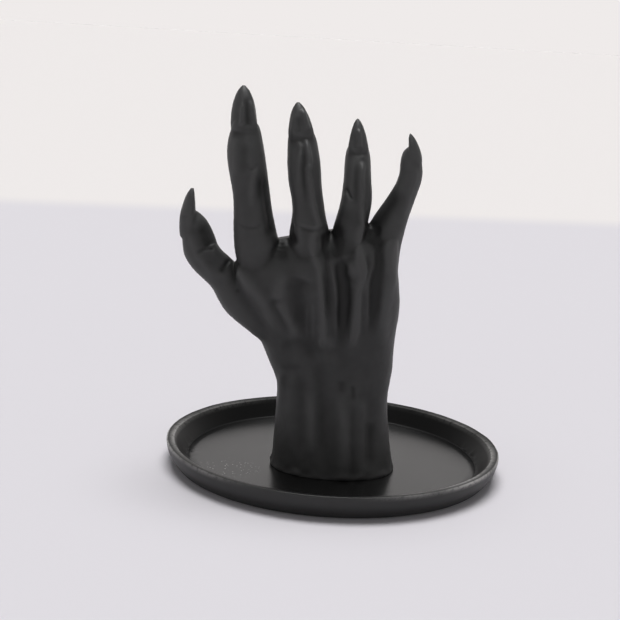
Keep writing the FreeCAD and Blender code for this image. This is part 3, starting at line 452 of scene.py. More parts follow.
def linear(hex_colour):
    """Linear red, green and blue of an sRGB colour written in hex."""
    shares = [int(hex_colour[place:place + 2], 16) / 255 for place in (1, 3, 5)]
    return tuple(s / 12.92 if s <= 0.04045 else ((s + 0.055) / 1.055) ** 2.4 for s in shares)


def smooth_step(low, high, values):
    """Rises from 0 at low to 1 at high, with a soft start and end."""
    part = np.clip((values - low) / (high - low), 0.0, 1.0)
    return part * part * (3.0 - 2.0 * part)


def colour_property(name, description, hex_colour):
    """Colour that a user can change."""
    return FloatVectorProperty(name=name, description=description, subtype="COLOR", size=3,
                               default=linear(hex_colour))


def length_property(name, description, millimetres):
    """Length that a user can change."""
    return FloatProperty(name=name, description=description, unit="LENGTH", default=millimetres * MM)


class HandSettings(bpy.types.PropertyGroup):
    """Sizes and colours of the cast hand."""

    # Painted light: the resin colour fills the hollows as painted shade, and the crest colour is partly
    # rubbing and partly painted highlight
    resin_colour: colour_property("Resin colour", "Black of the resin in the hollows", "#1a1a1a")
    rubbed_and_highlight_colour: colour_property("Crest colour", "Paler black where the ridges are rubbed", "#434343")
    cell_size: length_property("Cell size", "Size of the cells that the casting's skin is drawn with", 0.53)
    fill_out: length_property("Fill out", "Growth that makes up for what the cells round off", 0.2)
    root_fillet: length_property("Root fillet", "Radius that blends the digits into back and palm", 4.0)
    layer_pitch: length_property("Layer pitch", "Height of one printed layer, drawn coarser than it is", 0.45)
    relief_strength: FloatProperty(
        name="Relief strength", description="How strongly tendons, hollows and folds stand out", default=1.0)


class TraySettings(bpy.types.PropertyGroup):
    """Sizes and colours of the tray."""

    resin_colour: colour_property("Resin colour", "Black of the tray", "#131313")
    rubbed_colour: colour_property("Rubbed colour", "Duller black on the outside of the wall", "#272727")
    # Pale grey of the lines along both edges of the rim
    pale_line_colour: colour_property("Worn colour", "Pale grey where the rim is scuffed", "#aeacaa")
    dust_colour: colour_property("Dust colour", "Pale specks on the floor", "#c8c6c4")
    rim_wave: length_property("Rim wave", "How far the rim strays from a true circle", 0.10)
    segments: IntProperty(name="Segments", description="Steps around the tray", default=288, min=24)


class StageSettings(bpy.types.PropertyGroup):
    """Colours of the plain studio, and the lens that it is seen through."""

    floor_colour: colour_property("Floor colour", "Pale cloth under the tray", "#dedbe0")
    wall_colour: colour_property("Wall colour", "Pale wall behind", "#efebea")
    far_colour: colour_property("Far colour", "Paler floor beyond the cloth", "#ece8e7")
    lens: FloatProperty(name="Lens", description="Focal length for a 36 mm wide picture", default=91.2)


def feed(tree, node, values=None, links=None):
    """Sets the values of a node's sockets and links what feeds them."""
    for socket, value in (values or {}).items():
        node.inputs[socket].default_value = value
    for socket, source in (links or {}).items():
        tree.links.new(source, node.inputs[socket])


def add_node(tree, kind, values=None, links=None, **settings):
    """Adds a node, with its own settings, the values of its sockets and what feeds them."""
    node = tree.nodes.new(kind)
    for name, value in settings.items():
        setattr(node, name, value)
    feed(tree, node, values, links)
    return node


def new_material(name):
    """Empty node material, its tree and its shader."""
    material = bpy.data.materials.new(name)
    material.use_nodes = True
    tree = material.node_tree
    tree.nodes.clear()
    shader = add_node(tree, "ShaderNodeBsdfPrincipled")
    add_node(tree, "ShaderNodeOutputMaterial", links={"Surface": shader.outputs["BSDF"]})
    return material, tree, shader


def matt_black_cast_resin(settings):
    """Matt black resin: cast, so the skin is faintly mottled, with a satin sheen on its nails.

    Its crests are painted paler, partly rubbing and partly painted highlight, and its hollows darker as
    painted shade.
    """
    material, tree, shader = new_material("matt_black_cast_resin")
    place = add_node(tree, "ShaderNodeTexCoord").outputs["Object"]
    # Painted light: this attribute paints crests paler, partly rubbing and partly painted highlight, and
    # hollows darker as painted shade
    rubbed_and_painted_light = add_node(tree, "ShaderNodeAttribute", attribute_name="rubbed_and_painted_light").outputs["Fac"]
    nail = add_node(tree, "ShaderNodeAttribute", attribute_name="nail").outputs["Fac"]
    mottle = add_node(tree, "ShaderNodeTexNoise", {"Scale": 1 / (RESIN_MOTTLE * MM), "Detail": 4.0},
                      {"Vector": place})
    grain = add_node(tree, "ShaderNodeTexNoise", {"Scale": 1 / (RESIN_GRAIN * MM), "Detail": 2.0},
                     {"Vector": place})
    pale_share = add_node(tree, "ShaderNodeMath", {1: MOTTLE_SHARE}, {0: mottle.outputs["Fac"], 2: rubbed_and_painted_light},
                    operation="MULTIPLY_ADD")
    ramp = add_node(tree, "ShaderNodeMapRange",
                    {"From Min": MOTTLE_SHARE / 2, "From Max": 1 + MOTTLE_SHARE / 2},
                    {"Value": pale_share.outputs[0]})
    colour = add_node(tree, "ShaderNodeMix",
                      {"A": (*settings.resin_colour, 1.0), "B": (*settings.rubbed_and_highlight_colour, 1.0)},
                      {0: ramp.outputs[0]}, data_type="RGBA")
    sheen = add_node(tree, "ShaderNodeMapRange", {"To Min": HAND_ROUGHNESS, "To Max": NAIL_ROUGHNESS},
                     {"Value": nail})
    rough = add_node(tree, "ShaderNodeMath", {1: MOTTLE_ROUGHNESS},
                     {0: mottle.outputs["Fac"], 2: sheen.outputs[0]}, operation="MULTIPLY_ADD")
    upright = add_node(tree, "ShaderNodeSeparateXYZ", links={"Vector": place}).outputs["Z"]
    turns = add_node(tree, "ShaderNodeMath", {1: 2 * math.pi / settings.layer_pitch}, {0: upright},
                     operation="MULTIPLY")
    layers = add_node(tree, "ShaderNodeMath", links={0: turns.outputs[0]}, operation="SINE")
    height = add_node(tree, "ShaderNodeMath", {1: LAYER_SHARE},
                      {0: layers.outputs[0], 2: grain.outputs["Fac"]}, operation="MULTIPLY_ADD")
    bump = add_node(tree, "ShaderNodeBump", {"Strength": 0.25, "Distance": RESIN_DEPTH * MM},
                    {"Height": height.outputs[0]})
    feed(tree, shader, {"IOR": 1.5, "Specular IOR Level": 0.25},
         {"Base Color": colour.outputs["Result"], "Roughness": rough.outputs[0],
          "Normal": bump.outputs["Normal"]})
    return material


def tray_resin(name, settings, resin_colour, roughness, gloss):
    """Black resin of the tray: pale lines along the edges of its rim, with a little dust on its floor."""
    material, tree, shader = new_material(name)
    place = add_node(tree, "ShaderNodeTexCoord").outputs["Object"]
    pale_rim_line = add_node(tree, "ShaderNodeAttribute", attribute_name="pale_rim_line").outputs["Fac"]
    dusty = add_node(tree, "ShaderNodeAttribute", attribute_name="dusty").outputs["Fac"]
    mottle = add_node(tree, "ShaderNodeTexNoise", {"Scale": 1 / (TRAY_MOTTLE * MM), "Detail": 2.0},
                      {"Vector": place})
    flecks = add_node(tree, "ShaderNodeTexNoise",
                      {"Scale": 1 / (TRAY_FLECK * MM), "Detail": 3.0, "Roughness": 0.6}, {"Vector": place})
    broken = add_node(tree, "ShaderNodeMapRange",
                      {"From Min": FLECK_EDGE[0], "From Max": FLECK_EDGE[1], "To Min": FLECK_LEFT},
                      {"Value": flecks.outputs["Fac"]})
    pale_share = add_node(tree, "ShaderNodeMath", links={0: broken.outputs[0], 1: pale_rim_line}, operation="MULTIPLY")
    colour = add_node(tree, "ShaderNodeMix", {"A": (*resin_colour, 1.0), "B": (*settings.pale_line_colour, 1.0)},
                      {0: pale_share.outputs[0]}, data_type="RGBA")
    dust = add_node(tree, "ShaderNodeTexVoronoi", {"Scale": 1 / (DUST_PITCH * MM)}, {"Vector": place})
    speck = add_node(tree, "ShaderNodeMapRange", {"From Min": SPECK_EDGE[0], "From Max": SPECK_EDGE[1]},
                     {"Value": dust.outputs["Distance"]})
    on_floor = add_node(tree, "ShaderNodeMath", links={0: speck.outputs[0], 1: dusty}, operation="MULTIPLY")
    dusted = add_node(tree, "ShaderNodeMix", {"B": (*settings.dust_colour, 1.0)},
                      {0: on_floor.outputs[0], "A": colour.outputs["Result"]}, data_type="RGBA")
    rough = add_node(tree, "ShaderNodeMapRange",
                     {"To Min": roughness, "To Max": roughness + TRAY_ROUGHNESS_RANGE},
                     {"Value": mottle.outputs["Fac"]})
    bump = add_node(tree, "ShaderNodeBump", {"Strength": 0.05, "Distance": TRAY_DEPTH * MM},
                    {"Height": flecks.outputs["Fac"]})
    feed(tree, shader, {"IOR": 1.5, "Specular IOR Level": gloss},
         {"Base Color": dusted.outputs["Result"], "Roughness": rough.outputs[0],
          "Normal": bump.outputs["Normal"]})
    return material


def satin_black_floor_resin(settings):
    """Satin black resin: the floor of the well was cast against a smooth plate, so it mirrors softly."""
    return tray_resin("satin_black_floor_resin", settings, settings.resin_colour, 0.25, 0.57)


def matt_black_wall_resin(settings):
    """Matt black resin: the well's wall and the rim keep the mould's dull skin, so they stay near black."""
    return tray_resin("matt_black_wall_resin", settings, settings.resin_colour, 0.40, 0.10)


def rubbed_black_outer_resin(settings):
    """Rubbed black resin: handling has dulled the outside of the wall to an even dark grey."""
    return tray_resin("rubbed_black_outer_resin", settings, settings.rubbed_colour, 0.50, 0.43)


def metal(name, hex_colour, roughness, grain_size, stretch):
    """Metal with a plated or machined grain, which its stretch draws into rings round an upright piece."""
    material, tree, shader = new_material(name)
    place = add_node(tree, "ShaderNodeTexCoord").outputs["Object"]
    scale = add_node(tree, "ShaderNodeMapping", {"Scale": (1.0, 1.0, stretch)}, {"Vector": place})
    grain = add_node(tree, "ShaderNodeTexNoise", {"Scale": 1 / (grain_size * MM), "Detail": 3.0},
                     {"Vector": scale.outputs["Vector"]}).outputs["Fac"]
    shade = add_node(tree, "ShaderNodeMapRange", {"To Min": METAL_SHADES[0], "To Max": METAL_SHADES[1]},
                     {"Value": grain})
    colour = add_node(tree, "ShaderNodeMix", {0: 1.0, "A": (*linear(hex_colour), 1.0)},
                      {"B": shade.outputs[0]}, data_type="RGBA", blend_type="MULTIPLY")
    rough = add_node(tree, "ShaderNodeMapRange",
                     {"To Min": roughness, "To Max": roughness + METAL_ROUGHNESS_RANGE}, {"Value": grain})
    bump = add_node(tree, "ShaderNodeBump", {"Strength": 0.3, "Distance": METAL_DEPTH * MM},
                    {"Height": grain})
    feed(tree, shader, {"Metallic": 1.0},
         {"Base Color": colour.outputs["Result"], "Roughness": rough.outputs[0],
          "Normal": bump.outputs["Normal"]})
    return material


def zinc_plated_steel():
    """Zinc plate: electroplated, so it has an even, soft, cool grey sheen."""
    return metal("zinc_plated_steel", "#c9ccd0", 0.30, 0.6, 1.0)


def turned_brass():
    """Turned brass: a warm, bright metal with fine rings left by the lathe's tool."""
    return metal("turned_brass", "#c9a24f", 0.25, 0.3, 6.0)


def ground_dowel_steel():
    """Ground steel: the wheel leaves it bright and smooth, with faint rings round the pin."""
    return metal("ground_dowel_steel", "#bfc1c4", 0.18, 0.25, 8.0)


def moulded_rubber():
    """Black pad rubber: moulded against a fine blasted tool, so it is dull and slightly pebbled."""
    material, tree, shader = new_material("moulded_rubber")
    place = add_node(tree, "ShaderNodeTexCoord").outputs["Object"]
    pebble = add_node(tree, "ShaderNodeTexVoronoi", {"Scale": 1 / (PAD_PEBBLE * MM)},
                      {"Vector": place}).outputs["Distance"]
    shade = add_node(tree, "ShaderNodeMix", {"A": (*linear("#222222"), 1.0), "B": (*linear("#303030"), 1.0)},
                     {0: pebble}, data_type="RGBA")
    bump = add_node(tree, "ShaderNodeBump", {"Strength": 0.4, "Distance": PAD_DEPTH * MM}, {"Height": pebble})
    feed(tree, shader, {"Roughness": 0.8},
         {"Base Color": shade.outputs["Result"], "Normal": bump.outputs["Normal"]})
    return material


def vector_array(elements, what):
    """Places or directions of a mesh's points or faces, one row for each."""
    values = np.empty(len(elements) * 3, np.float32)
    elements.foreach_get(what, values)
    return values.reshape(-1, 3)


def mesh_arrays(mesh):
    """Places of a mesh's points in millimetres, and its triangles."""
    mesh.calc_loop_triangles()
    triangles = np.empty(len(mesh.loop_triangles) * 3, np.int32)
    mesh.loop_triangles.foreach_get("vertices", triangles)
    return vector_array(mesh.vertices, "co") / MM, triangles.reshape(-1, 3).astype(np.uint32)


def move_points(mesh, places):
    """Moves a mesh's points to places in millimetres."""
    mesh.vertices.foreach_set("co", (places * MM).astype(np.float32).ravel())
    mesh.update()


def set_attribute(mesh, name, values):
    """Stores one number for each point of a mesh, for its material."""
    attribute = mesh.attributes.new(name, "FLOAT", "POINT")
    attribute.data.foreach_set("value", np.asarray(values, np.float32))


def mesh_from(name, points, faces):
    """Blender mesh object from points in millimetres."""
    mesh = bpy.data.meshes.new(name)
    mesh.from_pydata((np.asarray(points) * MM).tolist(), [], [tuple(face) for face in faces])
    mesh.update()
    thing = bpy.data.objects.new(name, mesh)
    bpy.context.scene.collection.objects.link(thing)
    mesh.shade_smooth()
    return thing


def angle_from(direction, angle):
    """Angle of each point from a direction in degrees, at most half a turn to either side."""
    turn = angle - math.radians(direction)
    return np.arctan2(np.sin(turn), np.cos(turn))


def distance_grid(points, faces, cell, reach):
    """Grid that holds how far each cell is from a closed skin, negative inside."""
    transform = openvdb.createLinearTransform(voxelSize=cell)
    kind = "triangles" if faces.shape[1] == 3 else "quads"
    return openvdb.FloatGrid.createLevelSetFromPolygons(
        points, transform=transform, halfWidth=reach / cell, **{kind: faces})


def softened_skin(points, triangles, cell, fillet, fill_out):
    """Skin of the casting with its digits blended into the back and the palm."""
    # The grids reach three cells past the fillet and hold two more, so that no skin meets their edge
    reach = fillet + 3 * cell
    base = distance_grid(points, triangles, cell, reach)
    swollen_points, swollen_faces = base.convertToQuads(isovalue=fillet)
    swollen = distance_grid(swollen_points, swollen_faces, cell, reach)
    low = np.floor((points.min(0) - reach) / cell).astype(int) - 2
    size = np.ceil((points.max(0) + reach) / cell).astype(int) + 3 - low
    crisp = np.empty(tuple(size), np.float32)
    blended = np.empty(tuple(size), np.float32)
    corner = tuple(int(value) for value in low)
    base.copyToArray(crisp, corner)
    swollen.copyToArray(blended, corner)
    blended += fillet
    across = (low[0] + np.arange(size[0])) * cell - HAND_AXIS_X
    up = (low[2] + np.arange(size[2])) * cell - FLOOR_Z
    line_x, line_z = zip(*CLEFT_LINE)
    cleft = np.interp(across, line_x, line_z)[:, None]
    share = smooth_step(0.0, CLEFT_FADE, cleft - up[None, :]) * smooth_step(*BLEND_START, up)[None, :]
    mixed = crisp + (blended - crisp) * share[:, None, :].astype(np.float32)
    grid = openvdb.FloatGrid(reach)
    grid.transform = openvdb.createLinearTransform(voxelSize=cell)
    grid.copyFromArray(mixed, corner)
    return grid.convertToQuads(isovalue=fill_out)


def standing_out(places, faces, normals, passes):
    """How far each point stands out of the skin around it in millimetres, negative in a hollow."""
    corners = faces.ravel()
    count = np.bincount(corners, minlength=len(places))
    soft = places.astype(float)
    for number in range(passes):
        middles = np.repeat(soft[faces].mean(1), faces.shape[1], axis=0)
        sums = [np.bincount(corners, weights=middles[:, axis], minlength=len(places)) for axis in range(3)]
        soft = np.stack(sums, axis=1) / count[:, None]
    return np.einsum("ij,ij->i", places - soft, normals)


def curve_samples(places, count):
    """Evenly numbered points on a smooth curve through a few places."""
    knots = np.array([places[0], *places, places[-1]], float)
    samples = []
    for step in range(count):
        along = (len(places) - 1) * step / (count - 1)
        first = min(int(along), len(places) - 2)
        t = along - first
        a, b, c, d = knots[first:first + 4]
        samples.append(0.5 * (2 * b + (c - a) * t + (2 * a - 5 * b + 4 * c - d) * t ** 2
                              + (3 * b - a - 3 * c + d) * t ** 3))
    return np.array(samples)


def line_relief(flat, line, samples=25):
    """How far a line of relief lifts each flat place, and nothing beyond three half widths."""
    rise, half_width, (start_fade, end_fade), places = line
    path = curve_samples(places, samples)
    reach = 3 * half_width
    near = np.all((flat > path.min(0) - reach) & (flat < path.max(0) + reach), axis=1)
    lift = np.zeros(len(flat))
    spots = flat[near]
    nearest = np.full(len(spots), np.inf)
    along = np.zeros(len(spots))
    for number in range(samples - 1):
        start, step = path[number], path[number + 1] - path[number]
        part = np.clip((spots - start) @ step / (step @ step), 0.0, 1.0)
        gap = np.linalg.norm(spots - start - part[:, None] * step, axis=1)
        closer = gap < nearest
        nearest[closer] = gap[closer]
        along[closer] = (number + part[closer]) / (samples - 1)
    fade = smooth_step(0.0, start_fade, along) * smooth_step(0.0, end_fade, 1.0 - along)
    lift[near] = rise * fade * np.exp(-(nearest / half_width) ** 2)
    return lift


def strongest_relief(flat, lines):
    """Highest lift that any of the lines gives each flat place."""
    lift = np.zeros(len(flat))
    for line in lines.values():
        lift = np.maximum(lift, line_relief(flat, line))
    return lift


def cast_relief(flat, normals):
    """How far tendons, hollows and folds lift each point, by the side of the hand that it faces."""
    relief = np.zeros(len(flat))
    for side, lines in ((-1.0, BACK_RELIEF), (1.0, PALM_RELIEF)):
        facing = smooth_step(0.0, FACING_FULL, normals[:, 1] * side)
        for line in lines.values():
            relief += facing * line_relief(flat, line)
    return relief


def foot_flash(up, spread, angle):
    """How far the mould's flash lifts each point round the foot: a thin uneven lip and a few lumps."""
    cuts = [Vector((math.cos(a) * LIP_WAVES, math.sin(a) * LIP_WAVES, LIP_LAYER)) for a in angle.tolist()]
    stray = np.array([noise.noise(cut) for cut in cuts])
    start, full, thin, end = LIP_HEIGHTS
    flash = smooth_step(end, thin, up) * smooth_step(start, full, up) * (LIP_RISE + LIP_STRAY * stray)
    for direction, height, rise, half_width in FOOT_FLASH:
        gap = np.hypot(spread * angle_from(direction, angle), up - height)
        flash += rise * np.exp(-(gap / half_width) ** 2)
    return flash


class OBJECT_OT_cast_hand(bpy.types.Operator):
    """Casts the hand: blended roots, tendons, hollows, folds and nails"""

    bl_idname = "object.ring_holder_cast_hand"
    bl_label = "Cast hand"

    def execute(self, context):
        settings = context.scene.ring_holder_hand
        points, triangles = mesh_arrays(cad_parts["hand"].data)
        points, faces = softened_skin(points, triangles, settings.cell_size / MM, settings.root_fillet / MM,
                                      settings.fill_out / MM)
        hand = mesh_from("cast_hand", points, faces)
        mesh = hand.data
        places = vector_array(mesh.vertices, "co") / MM
        normals = vector_array(mesh.vertices, "normal")
        flat = places[:, (0, 2)] - (HAND_AXIS_X, FLOOR_Z)
        from_axis = places[:, :2] - np.array((HAND_AXIS_X, HAND_AXIS_Y), np.float32)
        spread = np.hypot(from_axis[:, 0], from_axis[:, 1])
        angle = np.arctan2(from_axis[:, 1], from_axis[:, 0])
        ripple = np.array([noise.fractal(Vector(place) / RIPPLE_LENGTH, *RIPPLE_FRACTAL)
                           for place in places.tolist()])
        above = smooth_step(0.0, RIPPLE_FULL_Z, flat[:, 1])
        on_skin = RIPPLE_RISE * ripple * above + foot_flash(flat[:, 1], spread, angle)
        grown = cast_relief(flat, normals) * settings.relief_strength
        grown += np.where(spread > SOCKET_REACH, on_skin, 0.0)
        places += normals * grown[:, None]
        move_points(mesh, places)
        # Painted light: crests are painted paler, partly rubbing and partly painted highlight, and hollows
        # darker as painted shade
        stands = standing_out(places, faces, vector_array(mesh.vertices, "normal"), SOFTENING_PASSES)
        # Painted shade: the listed flanks, webs, ledges and folds between the digits are painted darker
        painted_shade = strongest_relief(flat, PAINTED_SHADE_PLACES) * smooth_step(*PAINTED_SHADE_FACING, normals[:, 1])
        set_attribute(mesh, "rubbed_and_painted_light", np.clip(CREST_SHARE - painted_shade + stands / CREST_RISE, 0.0, 1.0))
        set_attribute(mesh, "nail", smooth_step(*NAIL_EDGE, strongest_relief(flat, NAIL_COVER)))
        mesh.materials.append(matt_black_cast_resin(settings))
        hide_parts("hand")
        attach(hand, "root")
        return {"FINISHED"}


def round_corner(before, corner, after, radius, steps):
    """Points of an arc that rounds a corner of an outline."""
    a = np.array(before, float) - corner
    b = np.array(after, float) - corner
    a /= np.linalg.norm(a)
    b /= np.linalg.norm(b)
    half = math.acos(float(np.clip(a @ b, -1, 1))) / 2
    middle = (a + b) / np.linalg.norm(a + b)
    centre = np.array(corner, float) + middle * radius / math.sin(half)
    start = np.array(corner, float) + a * radius / math.tan(half) - centre
    end = np.array(corner, float) + b * radius / math.tan(half) - centre
    turn = math.atan2(start[0] * end[1] - start[1] * end[0], start @ end)
    points = []
    for step in range(steps + 1):
        angle = turn * step / steps
        spin = np.array(((math.cos(angle), -math.sin(angle)), (math.sin(angle), math.cos(angle))))
        points.append(tuple(centre + spin @ start))
    return points


def arc_through(start, end, bulge, steps):
    """Points between two ends of an outline, bulging to the outside by a small rise."""
    a, b = np.array(start, float), np.array(end, float)
    out = np.array((b[1] - a[1], a[0] - b[0])) / np.linalg.norm(b - a)
    return [tuple(a + (b - a) * t + out * bulge * 4 * t * (1 - t)) for t in np.linspace(0, 1, steps + 1)]


def tray_outline():
    """Half outline of the tray, from the middle of its underside round to the middle of its floor."""
    foot_radius = TRAY_RADIUS - TRAY_FOOT_INSET
    foot_side = (foot_radius, TRAY_UNDER_Z + TRAY_FOOT_CHAMFER)
    rim_outer = (TRAY_RADIUS, TRAY_TOP_Z)
    rim_inner = (RIM_INNER_RADIUS, TRAY_TOP_Z - TRAY_RIM_FALL)
    well = (WELL_RADIUS, FLOOR_Z)
    wall = arc_through(foot_side, rim_outer, TRAY_WALL_BULGE, WALL_STEPS)
    underside = np.linspace(0, foot_radius - TRAY_FOOT_CHAMFER, UNDERSIDE_STEPS)
    points = [(radius, TRAY_UNDER_Z) for radius in underside]
    points += wall[:-2]
    points += round_corner(wall[-2], rim_outer, rim_inner, TRAY_RIM_ROUND, ROUND_STEPS)
    points += round_corner(rim_outer, rim_inner, well, TRAY_RIM_ROUND, ROUND_STEPS)
    inner_top = points[-1]
    cove = round_corner(rim_inner, well, (0, FLOOR_Z), TRAY_WELL_ROUND, ROUND_STEPS)
    points += [tuple(np.array(inner_top) + (np.array(cove[0]) - inner_top) * t) for t in (0.25, 0.5, 0.75)]
    points += cove
    seam = cove[-1][0]
    points += [(seam - share * TRAY_SEAM_WIDTH, FLOOR_Z - depth * TRAY_SEAM_DEPTH)
               for share, depth in ((0.25, 1.0), (0.75, 1.0), (1.0, 0.0))]
    points += [(radius, FLOOR_Z) for radius in np.linspace(seam - TRAY_SEAM_WIDTH, 0, FLOOR_STEPS)[1:]]
    return points


def turned_object(name, outline, segments):
    """Closed object turned about the upright axis from a half outline that starts and ends on it."""
    inner = outline[1:-1]
    rows = len(inner)
    points = [(0.0, 0.0, outline[0][1])]
    for number in range(segments):
        angle = 2 * math.pi * number / segments
        points += [(radius * math.cos(angle), radius * math.sin(angle), height) for radius, height in inner]
    points.append((0.0, 0.0, outline[-1][1]))
    faces = []
    for number in range(segments):
        this = 1 + number * rows
        other = 1 + (number + 1) % segments * rows
        faces.append((0, other, this))
        faces += [(this + row, other + row, other + row + 1, this + row + 1) for row in range(rows - 1)]
        faces.append((this + rows - 1, other + rows - 1, len(points) - 1))
    return mesh_from(name, points, faces)


def combine(body, operation, middle, diameter, low, high):
    """Joins an upright round bar to a body, or cuts it out."""
    outline = [(0, low), (diameter / 2, low), (diameter / 2, high), (0, high)]
    bar = turned_object("bar", outline, HOLE_SEGMENTS)
    bar.data.transform(Matrix.Translation((middle[0] * MM, middle[1] * MM, 0)))
    modifier = body.modifiers.new("combine", "BOOLEAN")
    modifier.object = bar
    modifier.operation = operation
    modifier.solver = "EXACT"
    with bpy.context.temp_override(object=body, active_object=body):
        bpy.ops.object.modifier_apply(modifier=modifier.name)
    bpy.data.objects.remove(bar)
    shape = bmesh.new()
    shape.from_mesh(body.data)
    bmesh.ops.remove_doubles(shape, verts=shape.verts, dist=MERGE_REACH * MM)
    bmesh.ops.dissolve_degenerate(shape, edges=shape.edges, dist=MERGE_REACH * MM)
    shape.to_mesh(body.data)
    shape.free()


def fit_fixings(tray):
    """Adds the hub, and cuts the counterbore, the holes and the recesses that the fixings go into."""
    counterbore_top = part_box("washer")[1].z / MM
    hub_top = counterbore_top + HUB_OVER_WASHER
    *middle, radius = box_middle("washer")
    combine(tray, "UNION", middle, HUB_DIAMETER, TRAY_UNDER_Z + HUB_IN_TRAY, hub_top)
    combine(tray, "DIFFERENCE", middle, 2 * radius + 2 * WASHER_CLEARANCE, -CUT_REACH, counterbore_top)
    combine(tray, "DIFFERENCE", middle, SCREW_HOLE_DIAMETER, -CUT_REACH, hub_top + CUT_REACH)
    pin_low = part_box("locating_pin_left")[0].z / MM
    for node in ("locating_pin_left", "locating_pin_right"):
        *middle, radius = box_middle(node)
        combine(tray, "DIFFERENCE", middle, 2 * radius + 2 * PIN_CLEARANCE, pin_low, hub_top + CUT_REACH)
    for node in sorted(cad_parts):
        if node.startswith("foot_pad"):
            *middle, radius = box_middle(node)
            pad_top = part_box(node)[1].z / MM
            combine(tray, "DIFFERENCE", middle, 2 * radius + 2 * PAD_CLEARANCE, -CUT_REACH, pad_top)


def marks_round(angle, marks):
    """How strongly each point is marked, from the direction, half width and share of each mark."""
    strength = np.zeros(len(angle))
    for direction, half_width, share in marks:
        turn = angle_from(direction, angle)
        strength = np.maximum(strength, share * np.exp(-(turn / math.radians(half_width)) ** 2))
    return strength


def rim_wobble(places, radius, angle):
    """Wave of the rim at each point, as a share of its full size: nothing on the floor and the underside."""
    ring = [Vector((math.cos(a) * RIM_WAVES, math.sin(a) * RIM_WAVES, z * RIM_WAVE_RATE))
            for a, z in zip(angle.tolist(), places[:, 2].tolist())]
    wave = np.array([noise.fractal(place, *RIM_FRACTAL) for place in ring])
    outer = smooth_step(WELL_RADIUS - RIM_WAVE_INSET, RIM_INNER_RADIUS, radius)
    return wave * outer * smooth_step(RIM_WAVE_LOW_Z, TRAY_TOP_Z, places[:, 2])


def tray_zones(mesh):
    """Number of the material of each face: 0 on the floor, 1 on the well's wall and the rim, 2 outside."""
    x, y, z = (vector_array(mesh.polygons, "center") / MM).T
    across, along, up = vector_array(mesh.polygons, "normal").T
    radius = np.hypot(x, y)
    outward = (across * x + along * y) / np.maximum(radius, 1.0)
    floor_radius = WELL_RADIUS - TRAY_WELL_ROUND - TRAY_SEAM_WIDTH
    on_floor = (radius < floor_radius) & (up > FLOOR_UP)
    on_wall = (radius > floor_radius) & (z > FLOOR_Z - TRAY_SEAM_WIDTH) & (outward < WALL_OUTWARD)
    return np.where(on_floor, 0, np.where(on_wall, 1, 2)).astype(np.int32)


class OBJECT_OT_cast_tray(bpy.types.Operator):
    """Casts the tray: rim with pale edge lines, coved well, hub, and the holes and recesses under it"""

    bl_idname = "object.ring_holder_cast_tray"
    bl_label = "Cast tray"

    def execute(self, context):
        settings = context.scene.ring_holder_tray
        tray = turned_object("cast_tray", tray_outline(), settings.segments)
        fit_fixings(tray)
        mesh = tray.data
        places = vector_array(mesh.vertices, "co") / MM
        radius = np.hypot(places[:, 0], places[:, 1])
        angle = np.arctan2(places[:, 1], places[:, 0])
        wobble = settings.rim_wave / MM * rim_wobble(places, radius, angle)
        places[:, 0] += np.cos(angle) * wobble
        places[:, 1] += np.sin(angle) * wobble
        places[:, 2] += RIM_WAVE_LIFT * wobble
        on_seam = np.exp(-((radius - WELL_RADIUS) / SEAM_MARK_WIDTH) ** 2)
        on_seam *= places[:, 2] > FLOOR_Z - SEAM_MARK_DEPTH
        lumps = np.array([noise.noise(Vector(place) * SEAM_MARK_RATE) for place in places.tolist()])
        places[:, 2] += SEAM_MARK_RISE * marks_round(angle, SEAM_MARKS) * on_seam * lumps
        move_points(mesh, places)
        # Pale lines along both edges of the rim, strongest at the listed directions round the tray
        outer_line = np.exp(-((radius - TRAY_RADIUS + RIM_LINE_INSET) / RIM_LINE_WIDTH) ** 2)
        inner_line = np.exp(-((radius - RIM_INNER_RADIUS - RIM_LINE_INSET) / RIM_LINE_WIDTH) ** 2)
        low, full = (TRAY_TOP_Z - depth for depth in RIM_LINE_DEPTHS)
        lines = (outer_line + RIM_INNER_SHARE * inner_line) * smooth_step(low, full, places[:, 2])
        set_attribute(mesh, "pale_rim_line", lines * marks_round(angle, RIM_PALE_LINES))
        from_dust = np.hypot(places[:, 0] - DUST_PLACE[0], places[:, 1] - DUST_PLACE[1])
        on_floor = np.abs(places[:, 2] - FLOOR_Z) < DUST_HEIGHT
        set_attribute(mesh, "dusty", smooth_step(DUST_REACH, 0.0, from_dust) * on_floor)
        for material in (satin_black_floor_resin, matt_black_wall_resin, rubbed_black_outer_resin):
            mesh.materials.append(material(settings))
        mesh.polygons.foreach_set("material_index", tray_zones(mesh))
        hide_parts("tray")
        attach(tray, "root")
        return {"FINISHED"}


def finish_nodes(nodes, material):
    """Gives pieces that keep their CAD shape the material that they are made of."""
    for node in nodes:
        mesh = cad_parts[node].data
        mesh.materials.clear()
        mesh.materials.append(material)


class OBJECT_OT_finish_fixings(bpy.types.Operator):
    """Gives the screw, washer, insert and pins their metals"""

    bl_idname = "object.ring_holder_finish_fixings"
    bl_label = "Finish fixings"

    def execute(self, context):
        finish_nodes(("base_screw", "washer"), zinc_plated_steel())
        finish_nodes(("threaded_insert",), turned_brass())
        finish_nodes(("locating_pin_left", "locating_pin_right"), ground_dowel_steel())
        return {"FINISHED"}


class OBJECT_OT_finish_pads(bpy.types.Operator):
    """Gives the foot pads their rubber"""

    bl_idname = "object.ring_holder_finish_pads"
    bl_label = "Finish foot pads"

    def execute(self, context):
        finish_nodes([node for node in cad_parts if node.startswith("foot_pad")], moulded_rubber())
        return {"FINISHED"}


